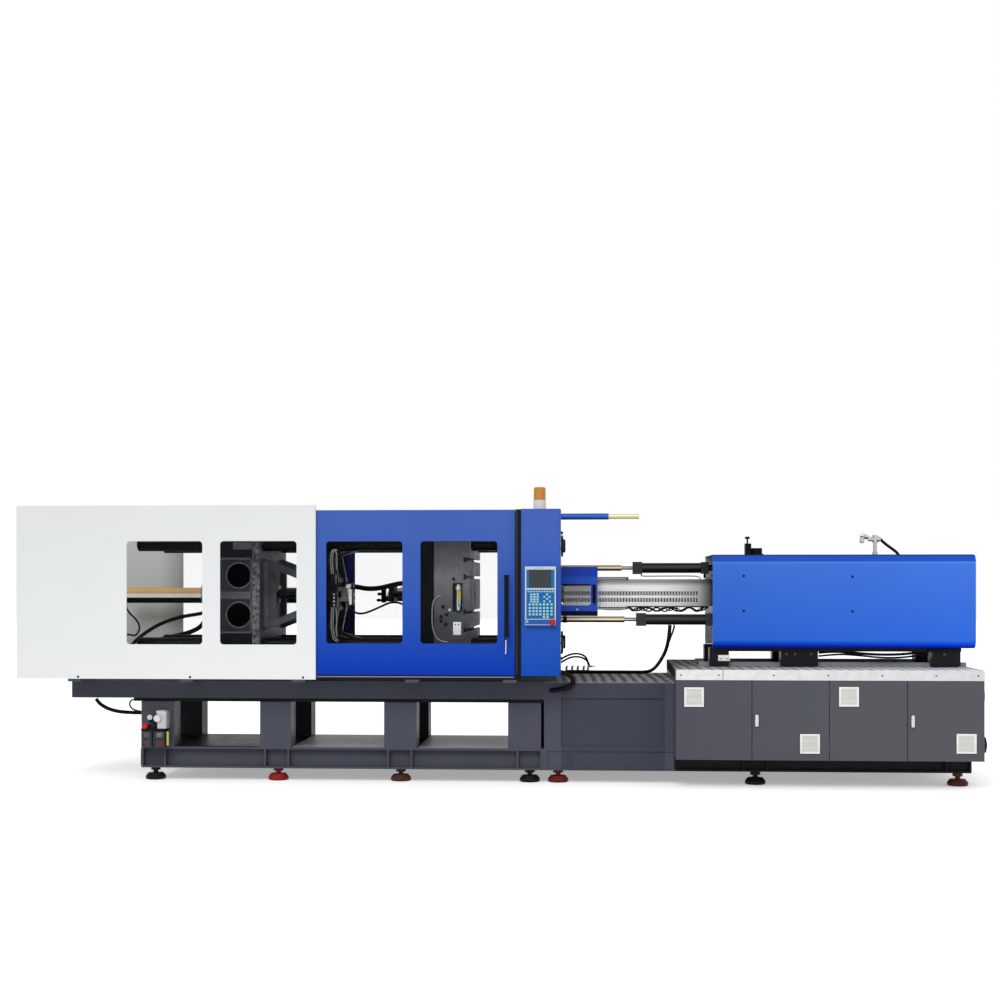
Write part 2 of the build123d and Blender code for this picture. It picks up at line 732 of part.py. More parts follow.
# Tailstock casting
with BuildPart() as tailstock:
    slab(tail_left, tail_mid, -500, 500, axis_z - platen_half_z, axis_z + platen_half_z)
    slab(
        tail_mid, tail_right, -platen_half_y, platen_half_y,
        axis_z - platen_half_z, axis_z + platen_half_z,
    )
    chamfer(tailstock.edges().filter_by(Axis.X), 40)
    for sy in (-1, 1):
        for dz in (155.0, -166.0):
            y_a, y_b = sorted((sy * 500, sy * 260))
            bar_y(y_a, y_b, -2098, axis_z + dz, 97, Mode.SUBTRACT)
    for sy in (-1, 1):
        w_a, w_b = sorted((sy * 360, sy * 392))
        prism_y(
            [
                (tail_right, axis_z + 300), (-1570, axis_z + 165),
                (-1570, axis_z - 165), (tail_right, axis_z - 300),
            ], w_a, w_b,
        )
        prism_y(
            [
                (tail_right + 40, axis_z + 226), (-1612, axis_z + 118),
                (-1612, axis_z - 118), (tail_right + 40, axis_z - 226),
            ], w_a, w_b, Mode.SUBTRACT,
        )
        for sz in (-1, 1):
            lug_z = axis_z + sz * toggle_z
            l_a = sy * toggle_y - plate_half
            l_b = sy * toggle_y + plate_half
            link_plate(
                [(tail_pin_x, lug_z, eye_r), (tail_right - 40, lug_z - sz * 20, eye_r + 10)],
                l_a, l_b,
            )
            bar_y(l_a, l_b, tail_pin_x, lug_z, pin_r, Mode.SUBTRACT)
    for sy in (-1, 1):
        for sz in (-1, 1):
            bar_x(
                tail_left, tail_right, sy * tie_y, axis_z + sz * tie_z, tie_r + slide_gap,
                Mode.SUBTRACT,
            )
    bar_x(tail_left, tail_right, 0, axis_z, clamp_cyl_r, Mode.SUBTRACT)
    twin(
        tail_left, tail_mid, clamp_rail_y - 60, clamp_rail_y + 20,
        clamp_rail_top + slide_gap, axis_z - platen_half_z + 60,
    )
save(tailstock, "tailstock")

# Clamp cylinder through the tailstock
with BuildPart() as clamp_cylinder:
    bar_x(clamp_cyl_left, clamp_cyl_right, 0, axis_z, clamp_cyl_r)
    bar_x(clamp_cyl_left - 30, clamp_cyl_left + 40, 0, axis_z, clamp_cyl_r + 12)
    bar_x(tail_left - 30, tail_left, 0, axis_z, clamp_cyl_r + 45)
    bar_x(clamp_cyl_left + 10, clamp_cyl_right - 30, 0, axis_z, clamp_bore_r, Mode.SUBTRACT)
    bar_x(clamp_cyl_right - 30, clamp_cyl_right, 0, axis_z, rod_r + pin_gap, Mode.SUBTRACT)
save(clamp_cylinder, "clamp_cylinder")

# Tailstock pins and the guide rods of the crosshead
pin_reach = toggle_y + cheek_out + 4
pin_start = toggle_y - cheek_out - 4
with BuildPart() as tailstock_pins:
    for sz in (-1, 1):
        bar_y(-pin_reach, pin_reach, tail_pin_x, axis_z + sz * toggle_z, pin_r)
    for sy in (-1, 1):
        bar_x(tail_right, crosshead_x + 75, sy * guide_y, axis_z, guide_r)
save(tailstock_pins, "tailstock_pins")

# Mould height nuts on the tailstock
with BuildPart() as height_nuts:
    for sy in (-1, 1):
        for sz in (-1, 1):
            bar_x(tail_left - 60, tail_left, sy * tie_y, axis_z + sz * tie_z, 86)
            bar_x(
                tail_left - 60, tail_left, sy * tie_y, axis_z + sz * tie_z, tie_r + slide_gap,
                Mode.SUBTRACT,
            )
save(height_nuts, "height_nuts")

# Toggle links: rear links are cheek pairs, front links run between them
knee_x = tail_pin_x + link_length
platen_pin_x = knee_x + link_length
for sz, level in ((1, "upper"), (-1, "lower")):
    row_z = axis_z + sz * toggle_z
    ear_at = (tail_pin_x + ear_x, row_z - sz * ear_z)
    with BuildPart() as rear_link:
        for sy in (-1, 1):
            for c0, c1 in ((-cheek_out, -cheek_in), (cheek_in, cheek_out)):
                link_plate(
                    [
                        (tail_pin_x, row_z, eye_r), (knee_x, row_z, eye_r),
                        (ear_at[0], ear_at[1], ear_eye_r),
                    ],
                    sy * toggle_y + c0, sy * toggle_y + c1,
                )
        bar_y(-pin_reach, pin_reach, tail_pin_x, row_z, pin_r + pin_gap, Mode.SUBTRACT)
        for sy in (-1, 1):
            p_a, p_b = sorted((sy * pin_start, sy * pin_reach))
            bar_y(p_a, p_b, knee_x, row_z, pin_r)
            bar_y(p_a, p_b, ear_at[0], ear_at[1], ear_pin_r)
    save(rear_link, level + "_rear_link")

    with BuildPart() as front_link:
        for sy in (-1, 1):
            f_a = sy * toggle_y - plate_half
            f_b = sy * toggle_y + plate_half
            link_plate(
                [(knee_x, row_z, eye_r - 4), (platen_pin_x, row_z, eye_r - 4)], f_a, f_b,
            )
            for x in (knee_x, platen_pin_x):
                bar_y(f_a, f_b, x, row_z, pin_r + pin_gap, Mode.SUBTRACT)
    save(front_link, level + "_front_link")

    pin_z = axis_z + sz * crosshead_pin_z
    run_x = ear_at[0] - crosshead_x
    run_z = ear_at[1] - pin_z
    reach = math.hypot(run_x, run_z)
    slope = math.degrees(math.atan2(run_z, run_x))
    slot_run = 46.0
    slot_mid = reach - slot_run / 2 + 2
    with BuildPart() as crosshead_link:
        for sy in (-1, 1):
            k_a = sy * toggle_y - plate_half + 3
            k_b = sy * toggle_y + plate_half - 3
            with BuildSketch(Plane.XZ.offset(-k_b)):
                with Locations(Location((crosshead_x, pin_z, 0), (0, 0, slope))):
                    with Locations((0, 0), (reach + 4, 0)):
                        Circle(36)
                    make_hull()
                    with Locations((0, 0)):
                        Circle(ear_pin_r + pin_gap, mode=Mode.SUBTRACT)
                    with Locations((slot_mid, 0)):
                        SlotCenterToCenter(slot_run, 2 * (ear_pin_r + 1.8), mode=Mode.SUBTRACT)
            extrude(amount=k_b - k_a)
    save(crosshead_link, level + "_crosshead_link")

# Crosshead with its cylinder rod
with BuildPart() as crosshead:
    slab(
        crosshead_x - crosshead_half, crosshead_x + crosshead_half, -guide_y - 42, guide_y + 42,
        axis_z - 60, axis_z + 60,
    )
    chamfer(crosshead.edges().filter_by(Axis.X), 12)
    for sy in (-1, 1):
        for c0, c1 in ((-55, -cheek_in), (cheek_in, 55)):
            link_plate(
                [
                    (crosshead_x, axis_z + crosshead_pin_z, 38),
                    (crosshead_x, axis_z - crosshead_pin_z, 38),
                ],
                sy * toggle_y + c0, sy * toggle_y + c1,
            )
        bar_x(
            crosshead_x - crosshead_half, crosshead_x + crosshead_half, sy * guide_y, axis_z,
            guide_r + pin_gap, Mode.SUBTRACT,
        )
    for sz in (-1, 1):
        bar_y(
            -toggle_y - 58, toggle_y + 58, crosshead_x, axis_z + sz * crosshead_pin_z, ear_pin_r,
        )
    bar_x(clamp_cyl_right - 240, crosshead_x - crosshead_half, 0, axis_z, rod_r)
    bar_x(clamp_cyl_right - 290, clamp_cyl_right - 240, 0, axis_z, clamp_bore_r - slide_gap)
save(crosshead, "crosshead")

# Moving platen casting with toggle lugs and mould slots
platen_back = mould_face - platen_thick
ejector_r = 25.0
ejector_side_y = 100.0
ejector_side_r = 18.0
with BuildPart() as moving_platen:
    slab(
        platen_back, mould_face, -platen_half_y, platen_half_y,
        axis_z - platen_half_z, axis_z + platen_half_z,
    )
    chamfer(moving_platen.edges().filter_by(Axis.X), 40)
    for sy in (-1, 1):
        for c0, c1 in ((-cheek_out, -cheek_in), (cheek_in, cheek_out)):
            for sz in (-1, 1):
                lug_z = axis_z + sz * toggle_z
                link_plate(
                    [(platen_pin_x, lug_z, eye_r), (platen_back + 60, lug_z - sz * 30, eye_r + 28)],
                    sy * toggle_y + c0, sy * toggle_y + c1,
                )
                bar_y(
                    sy * toggle_y + c0, sy * toggle_y + c1, platen_pin_x, lug_z, pin_r,
                    Mode.SUBTRACT,
                )
    for sy in (-1, 1):
        for sz in (-1, 1):
            bar_x(
                platen_back, mould_face, sy * tie_y, axis_z + sz * tie_z, tie_r + slide_gap,
                Mode.SUBTRACT,
            )
    for step in (-2, -1, 1, 2):
        z = axis_z + step * slot_pitch
        deep = mould_face - slot_neck_depth
        slab(
            deep, mould_face, -platen_half_y, platen_half_y, z - slot_neck / 2, z + slot_neck / 2,
            Mode.SUBTRACT,
        )
        slab(
            deep - slot_head_depth, deep, -platen_half_y, platen_half_y,
            z - slot_head / 2, z + slot_head / 2, Mode.SUBTRACT,
        )
    bar_x(platen_back, mould_face, 0, axis_z, ejector_r + slide_gap, Mode.SUBTRACT)
    for sy in (-1, 1):
        bar_x(
            platen_back, platen_back + 252, sy * ejector_side_y, axis_z,
            ejector_side_r + slide_gap, Mode.SUBTRACT,
        )
    twin(
        platen_back - 50, mould_face + 50, clamp_rail_y - 50, clamp_rail_y + 50,
        clamp_rail_top + slide_gap, axis_z - platen_half_z + 30,
    )
    slab(
        platen_back + 20, platen_back + 60, bar_y_pos - 32, bar_y_pos + 32,
        axis_z + platen_half_z, bar_z_pos,
    )
    bar_x(platen_back + 20, platen_back + 60, bar_y_pos, bar_z_pos, 32)
    bar_x(platen_back + 20, platen_back + 60, bar_y_pos, bar_z_pos, safety_r, Mode.SUBTRACT)
save(moving_platen, "moving_platen")

with BuildPart() as platen_pins:
    for sz in (-1, 1):
        bar_y(-pin_reach, pin_reach, platen_pin_x, axis_z + sz * toggle_z, pin_r)
save(platen_pins, "platen_pins")

with BuildPart() as safety_bar:
    bar_x(platen_back + 20, 1154, bar_y_pos, bar_z_pos, safety_r)
save(safety_bar, "safety_bar")

# Ejector plate with its rods behind the moving platen
ejector_back = platen_back - 425
with BuildPart() as ejector:
    ejector_half = ejector_side_y + ejector_side_r
    slab(ejector_back, ejector_back + 45, -ejector_half, ejector_half, axis_z - 62, axis_z + 62)
    bar_x(ejector_back, mould_face - 5, 0, axis_z, ejector_r)
    for sy in (-1, 1):
        bar_x(ejector_back, platen_back + 97, sy * ejector_side_y, axis_z, ejector_side_r)
save(ejector, "ejector")

# Injection carriage on its rail shoes
with BuildPart() as injection_carriage:
    slab(carriage_plate_x, cover_left, -345, 345, saddle_bottom, axis_z + 290)
    twin(1717, 3712, 280, 400, saddle_bottom, cover_bottom)
    for x0, x1 in ((1717.0, 1873.0), (2288.0, 2583.0), (3480.0, 3708.0)):
        twin(x0, x1, 250, 400, rail_top + slide_gap, saddle_bottom)
        twin(
            x0, x1, rail_y + rail_half + slide_gap, 400, upper_deck_top + 10,
            rail_top + slide_gap,
        )
        twin(
            x0, x1, 250, rail_y - rail_half - slide_gap, upper_deck_top + 10,
            rail_top + slide_gap,
        )
    for y, z in ((rod_y, upper_rod_z), (-rod_y, lower_rod_z)):
        bar_x(carriage_plate_x, cover_left, y, z, 12, Mode.SUBTRACT)
save(injection_carriage, "injection_carriage")

# Barrel with its nozzle
with BuildPart() as barrel:
    with BuildSketch(Plane.XY):
        with BuildLine():
            Polyline(
                (nozzle_tip, 4), (nozzle_tip, 16), (nozzle_tip + 14, 24), (nozzle_tip + 120, 24),
                (nozzle_tip + 150, 42), (nozzle_tip + 190, 42), (nozzle_tip + 200, barrel_r + 12),
                (nozzle_tip + 270, barrel_r + 12), (nozzle_tip + 270, barrel_r),
                (carriage_plate_x, barrel_r), (carriage_plate_x, screw_r + slide_gap),
                (nozzle_tip + 230, screw_r + slide_gap), (nozzle_tip + 200, 4), close=True,
            )
        make_face()
    turned = revolve(axis=Axis.X, mode=Mode.PRIVATE)
    with Locations((0, 0, axis_z)):
        add(turned)
save(barrel, "barrel")

# Plasticising screw: core with a flight land every pitch
flight_pitch = 80.0
screw_left = 520.0
with BuildPart() as screw:
    bar_x(screw_left, carriage_plate_x - 6, 0, axis_z, screw_r - 9)
    with Locations(Location((screw_left - 20, 0, axis_z), (0, 90, 0))):
        Cone(8, screw_r - 9, 40)
    for turn in range(5):
        x = screw_left + 40 + turn * flight_pitch * 2
        bar_x(x, x + 12, 0, axis_z, screw_r)
    bar_x(carriage_plate_x - 200, carriage_plate_x - 6, 0, axis_z, screw_r)
save(screw, "screw")

# Perforated heat jacket round the barrel
jacket = [
    (-jacket_half_y, jacket_bottom), (-jacket_half_y, jacket_top - jacket_bend),
    (-jacket_half_y + jacket_bend * 1.4, jacket_top), (jacket_half_y - jacket_bend * 1.4, jacket_top),
    (jacket_half_y, jacket_top - jacket_bend), (jacket_half_y, jacket_bottom),
]
jacket_sheet = 3.0
jacket_inner = [
    (-jacket_half_y + jacket_sheet, jacket_bottom),
    (-jacket_half_y + jacket_sheet, jacket_top - jacket_bend - jacket_sheet),
    (-jacket_half_y + jacket_bend * 1.4 + 2, jacket_top - jacket_sheet),
    (jacket_half_y - jacket_bend * 1.4 - 2, jacket_top - jacket_sheet),
    (jacket_half_y - jacket_sheet, jacket_top - jacket_bend - jacket_sheet),
    (jacket_half_y - jacket_sheet, jacket_bottom),
]
slot_pitch_x = 24.0
slot_rows = [(1498.0, 1532.0), (1444.0, 1478.0)]
with BuildPart() as barrel_cover:
    prism_x(jacket, jacket_left, carriage_plate_x)
    prism_x(jacket_inner, jacket_left, carriage_plate_x, Mode.SUBTRACT)
    slab(
        carriage_plate_x - 12, carriage_plate_x, -jacket_half_y + 3, jacket_half_y - 3,
        axis_z + barrel_r, jacket_top - jacket_bend - 3,
    )
    for z0, z1 in slot_rows:
        with BuildSketch(Plane.XZ):
            with Locations(((jacket_left + 1640) / 2, (z0 + z1) / 2)):
                with GridLocations(slot_pitch_x, 1, 46, 1):
                    Rectangle(11, z1 - z0)
        extrude(amount=jacket_half_y + 10, both=True, mode=Mode.SUBTRACT)
save(barrel_cover, "barrel_cover")

# Carriage cylinders
with BuildPart() as carriage_cylinders:
    for y, z, head in ((rod_y, upper_rod_z, upper_cyl_left), (-rod_y, lower_rod_z, lower_cyl_left)):
        slab(head, head + 80, y - 52, y + 52, z - 52, z + 52)
        bar_x(head, cyl_bore_end, y, z, carriage_cyl_r)
        slab(carriage_plate_x - 109, carriage_plate_x - 45, y - 50, y + 50, z - 50, z + 50)
        bar_x(carriage_plate_x - 45, carriage_plate_x, y, z, 26)
        bar_x(head + 60, cyl_bore_end, y, z, piston_r, Mode.SUBTRACT)
        bar_x(head, head + 60, y, z, carriage_rod_r + pin_gap, Mode.SUBTRACT)
save(carriage_cylinders, "carriage_cylinders")

# Blue cover over the injection drive
cover_section = [
    (-cover_half + band_in, cover_bottom), (-cover_half, cover_bottom + cover_band),
    (-cover_half, cover_top - cover_band), (-cover_half + band_in, cover_top),
    (cover_half - band_in, cover_top), (cover_half, cover_top - cover_band),
    (cover_half, cover_bottom + cover_band), (cover_half - band_in, cover_bottom),
]
with BuildPart() as injection_cover:
    prism_x(cover_section, cover_lip, cover_right)
    fillet(injection_cover.faces().sort_by(Axis.X)[-1].edges().filter_by(Axis.Y), 18)
    slab(
        cover_left + sheet, cover_right - sheet, -cover_half + band_in, cover_half - band_in,
        cover_bottom + sheet, cover_top - sheet, Mode.SUBTRACT,
    )
    slab(
        cover_lip, cover_left, -cover_half + band_in, cover_half - band_in,
        cover_bottom, cover_top - sheet, Mode.SUBTRACT,
    )
    bar_x(cover_left, cover_left + sheet, 0, axis_z, 60, Mode.SUBTRACT)
save(injection_cover, "injection_cover")

# Hopper throat slide on top of the cover
throat_x = 2060.0
with BuildPart() as throat_slide:
    slab(throat_x - 25, throat_x + 25, -45, 45, cover_top, cover_top + 100)
    slab(throat_x + 25, throat_x + 120, -80, 80, cover_top, cover_top + 14)
    bar_z(cover_top + 14, cover_top + 62, throat_x + 72, 0, 46)
    bar_z(cover_top + 100, cover_top + 138, throat_x - 4, 0, 7)
    bar_z(cover_top + 138, cover_top + 158, throat_x - 4, 0, 20)
    fillet(throat_slide.edges().group_by(Axis.Z)[-1], 8)
save(throat_slide, "throat_slide")

# Purge guard hood over the nozzle
hood_out = [
    (-hood_flat, hood_bottom), (-hood_half, hood_low), (-hood_half, hood_bend),
    (-hood_flat, hood_top), (hood_flat, hood_top), (hood_half, hood_bend),
    (hood_half, hood_low), (hood_flat, hood_bottom),
]
hood_in = [
    (-hood_flat + 2, hood_bottom - 5), (-hood_flat + 2, hood_bottom + 5),
    (-hood_half + sheet, hood_low + 3),
    (-hood_half + sheet, hood_bend - 3), (-hood_flat + 2, hood_top - sheet),
    (hood_flat - 2, hood_top - sheet), (hood_half - sheet, hood_bend - 3),
    (hood_half - sheet, hood_low + 3), (hood_flat - 2, hood_bottom + 5),
    (hood_flat - 2, hood_bottom - 5),
]
with BuildPart() as purge_guard:
    prism_x(hood_out, hood_left, hood_right)
    prism_x(hood_in, hood_left, hood_right, Mode.SUBTRACT)
    window(hood_left + 5, 761, 1418, 1593, -hood_half - 1, -hood_half + sheet + 1, 22)
    for z in hood_rail_zs:
        twin(
            hood_left + 20, hood_left + 90, hood_rail_out + slide_gap, hood_half - sheet,
            z - 11, z + 11,
        )
    for z in (1452.0, 1570.0):
        bar_y(-hood_half - 26, -hood_half, 788, z, 7)
    bar_z(1444, 1578, 788, -hood_half - 26, 9)
save(purge_guard, "purge_guard")
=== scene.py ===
import math

import bmesh
import bpy
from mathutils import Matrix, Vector


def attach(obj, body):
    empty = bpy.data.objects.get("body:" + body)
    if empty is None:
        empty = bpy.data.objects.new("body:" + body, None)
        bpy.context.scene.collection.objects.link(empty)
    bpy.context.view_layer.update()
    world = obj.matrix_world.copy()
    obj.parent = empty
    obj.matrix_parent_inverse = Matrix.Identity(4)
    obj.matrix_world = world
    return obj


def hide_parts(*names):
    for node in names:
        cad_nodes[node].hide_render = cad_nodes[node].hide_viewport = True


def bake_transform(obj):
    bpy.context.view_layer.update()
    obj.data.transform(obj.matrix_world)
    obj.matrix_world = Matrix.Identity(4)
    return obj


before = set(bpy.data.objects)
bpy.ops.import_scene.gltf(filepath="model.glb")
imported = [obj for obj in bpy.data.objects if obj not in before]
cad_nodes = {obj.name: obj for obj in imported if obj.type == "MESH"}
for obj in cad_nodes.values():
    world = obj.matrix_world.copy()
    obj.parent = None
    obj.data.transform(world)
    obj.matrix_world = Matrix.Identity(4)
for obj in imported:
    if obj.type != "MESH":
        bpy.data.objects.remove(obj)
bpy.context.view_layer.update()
MM = 0.001
TURN = 2 * math.pi
FRONT, LEFT, RIGHT, UP = (0, -1, 0), (-1, 0, 0), (1, 0, 0), (0, 0, 1)

# Bodies that carry the most
BASE, UNIT = "machine_base", "injection_unit"

# Planes that face the front, in millimetres
GUARD_FACE = -870
VENT_FACE = -875
CASE_FACE = -905
PLATEN_FACE = -550
TAIL_FACE = -500


def add(name, data):
    made = bpy.data.objects.new(name, data)
    bpy.context.scene.collection.objects.link(made)
    return made


def grey(level):
    return (level, level, level)


# Camera at the photograph's place
camera_data = bpy.data.cameras.new("view_camera")
camera_data.sensor_width = 36.0
camera_data.lens = 57.596
camera_data.shift_y = 0.085
camera_data.clip_end = 200.0
camera = add("view_camera", camera_data)
camera.location = (0.8423, -13.37, 1.5836)
camera.rotation_euler = (math.radians(90), 0.0, math.radians(3.6))
bpy.context.scene.camera = camera


# Node material that is built up from sockets; lengths are metres in the object's own frame
class Shader:
    def __init__(self, name):
        self.material = bpy.data.materials.new(name)
        self.material.use_nodes = True
        self.nodes = self.material.node_tree.nodes
        self.links = self.material.node_tree.links
        self.bsdf = self.nodes["Principled BSDF"]
        self.coordinates = self.nodes.new("ShaderNodeTexCoord")

    def put(self, socket, value):
        if isinstance(value, bpy.types.NodeSocket):
            self.links.new(value, socket)
        elif isinstance(value, (tuple, list)) and len(value) == 3 and socket.type == "RGBA":
            socket.default_value = (*value, 1.0)
        else:
            socket.default_value = value

    def set(self, name, value):
        self.put(self.bsdf.inputs[name], value)

    def colour(self, value):
        self.set("Base Color", value)

    def rough(self, value):
        self.set("Roughness", value)

    def shine(self, value):
        self.set("Specular IOR Level", value)

    def math(self, kind, *values):
        node = self.nodes.new("ShaderNodeMath")
        node.operation = kind
        for index, value in enumerate(values):
            self.put(node.inputs[index], value)
        return node.outputs[0]

    def plus(self, first, second):
        return self.math("ADD", first, second)

    def minus(self, first, second):
        return self.math("SUBTRACT", first, second)

    def times(self, first, second):
        return self.math("MULTIPLY", first, second)

    def size(self, value):
        return self.math("ABSOLUTE", value)

    def above(self, value, limit):
        return self.math("GREATER_THAN", value, limit)

    def below(self, value, limit):
        return self.math("LESS_THAN", value, limit)

    def split(self, output):
        node = self.nodes.new("ShaderNodeSeparateXYZ")
        self.links.new(self.coordinates.outputs[output], node.inputs[0])
        return node.outputs

    def axis(self, name):
        return self.split("Object")[name]

    def facing(self, name):
        return self.split("Normal")[name]

    def noise(self, scale, detail=3.0, stretch=None, rough=0.55):
        node = self.nodes.new("ShaderNodeTexNoise")
        for key, value in (("Scale", scale), ("Detail", detail), ("Roughness", rough)):
            node.inputs[key].default_value = value
        source = self.coordinates.outputs["Object"]
        if stretch:
            pull = self.nodes.new("ShaderNodeVectorMath")
            pull.operation = "MULTIPLY"
            self.links.new(source, pull.inputs[0])
            pull.inputs[1].default_value = stretch
            source = pull.outputs[0]
        self.links.new(source, node.inputs["Vector"])
        return node.outputs["Fac"]

    # From one range of values to another
    def spread(self, value, *limits):
        node = self.nodes.new("ShaderNodeMapRange")
        self.put(node.inputs["Value"], value)
        for key, limit in zip(("From Min", "From Max", "To Min", "To Max"), limits):
            node.inputs[key].default_value = limit
        return node.outputs["Result"]

    def mottle(self, noise, amount):
        return self.spread(noise, 0.25, 0.75, 1.0 - amount, 1.0 + amount)

    def mix(self, factor, first, second, blend="MIX"):
        node = self.nodes.new("ShaderNodeMix")
        node.data_type = "RGBA"
        node.blend_type = blend
        for index, value in ((0, factor), (6, first), (7, second)):
            self.put(node.inputs[index], value)
        return node.outputs[2]

    def tint(self, first, second):
        return self.mix(1.0, first, second, "MULTIPLY")

    def ramp(self, value, stops, sharp=False):
        node = self.nodes.new("ShaderNodeValToRGB")
        self.links.new(value, node.inputs[0])
        ramp = node.color_ramp
        ramp.interpolation = "CONSTANT" if sharp else "LINEAR"
        while len(ramp.elements) < len(stops):
            ramp.elements.new(0.5)
        for element, (place, colour) in zip(ramp.elements, stops):
            element.position = place
            element.color = (*colour, 1.0)
        return node.outputs["Color"]

    # Colours at places along an axis, in millimetres
    def steps(self, axis, stops, sharp=False):
        low, high = stops[0][0], stops[-1][0]
        value = self.spread(self.axis(axis), low * MM, high * MM, 0.0, 1.0)
        stops = [((place - low) / (high - low), colour) for place, colour in stops]
        return self.ramp(value, stops, sharp)

    # 1 on the faces behind a given depth that look towards the front
    def far_wall(self, depth=0.0):
        return self.times(self.above(self.axis("Y"), depth), self.below(self.facing("Y"), -0.5))

    def bump(self, height, strength, distance):
        node = self.nodes.new("ShaderNodeBump")
        node.inputs["Strength"].default_value = strength
        node.inputs["Distance"].default_value = distance
        self.links.new(height, node.inputs["Height"])
        self.set("Normal", node.outputs["Normal"])

    # Surface of sprayed paint, with orange peel
    def enamel(self, rough, spec, peel=0.1):
        self.rough(self.spread(self.noise(7.0, 3.0), 0.3, 0.7, rough - 0.05, rough + 0.05))
        self.shine(spec)
        self.bump(self.noise(260.0, 2.0), peel, 0.0006)
        return self.material

    # Surface of a painted casting
    def cast(self, rough, spec, height, lump):
        self.rough(self.spread(self.noise(30.0, 4.0), 0.3, 0.7, rough - 0.1, rough + 0.15))
        self.shine(spec)
        self.bump(height, lump, 0.006)
        return self.material


# Paint or plastic of one colour, or of a list of stops along an axis; the last option darkens faces
# that lie deeper than a given depth and do not face the back, as painted shade
def painted(
    name, colour, rough=0.4, mottle=0.05, metal=0.0, coat=0.0, peel=0.12, axis="Z", sharp=False,
    cloud=1.7, spec=0.12, painted_recess_shade=None,
):
    s = Shader(name)
    base = s.steps(axis, colour, sharp) if isinstance(colour, list) else colour
    shade = s.mottle(s.noise(cloud, 4.0), mottle)
    # Painted shade: faces deeper than the given depth that do not face the back are darkened
    if painted_recess_shade:
        start, end, level = painted_recess_shade
        deep = s.spread(s.axis("Y"), start * MM, end * MM, 0.0, 1.0)
        deep = s.times(deep, s.below(s.facing("Y"), 0.5))
        shade = s.times(shade, s.spread(deep, 0.0, 1.0, 1.0, level))
    s.colour(s.tint(base, shade))
    s.set("Metallic", metal)
    if coat:
        s.set("Coat Weight", coat)
        s.set("Coat Roughness", 0.12)
    return s.enamel(rough, spec, peel)


def steel(name, colour, rough=0.3, grain=(1.0, 60.0, 60.0), streak=0.12, metal=1.0):
    s = Shader(name)
    lines = s.noise(24.0, 4.0, grain, 0.7)
    s.colour(s.tint(colour, s.mottle(lines, streak)))
    s.rough(s.spread(lines, 0.3, 0.7, rough - 0.06, rough + 0.08))
    s.set("Metallic", metal)
    s.bump(lines, 0.12, 0.0004)
    return s.material


def casting(name, colour, rough, lump, mottle=0.3):
    s = Shader(name)
    patches = s.noise(5.0, 6.0, None, 0.7)
    s.colour(s.tint(colour, s.spread(patches, 0.3, 0.7, 1.0 - mottle, 1.0 + mottle)))
    return s.cast(rough, 0.15, s.plus(s.noise(46.0, 5.0, None, 0.65), s.noise(9.0, 3.0)), lump)


# Round bars with a painted highlight along the middle and painted shade along top and bottom
def painted_sheen_bar(name, stops, far_stops=None):
    s = Shader(name)
    lie = s.spread(s.facing("Z"), -1.0, 1.0, 0.0, 1.0)
    base = s.ramp(lie, stops)
    if far_stops:
        split = 1.03
        base = s.mix(s.above(s.axis("X"), split), base, s.ramp(lie, far_stops))
    lines = s.noise(24.0, 4.0, (1.0, 40.0, 40.0), 0.7)
    s.colour(s.tint(base, s.mottle(lines, 0.12)))
    s.rough(s.spread(lines, 0.3, 0.7, 0.3, 0.42))
    s.shine(0.2)
    s.bump(lines, 0.1, 0.0004)
    return s.material


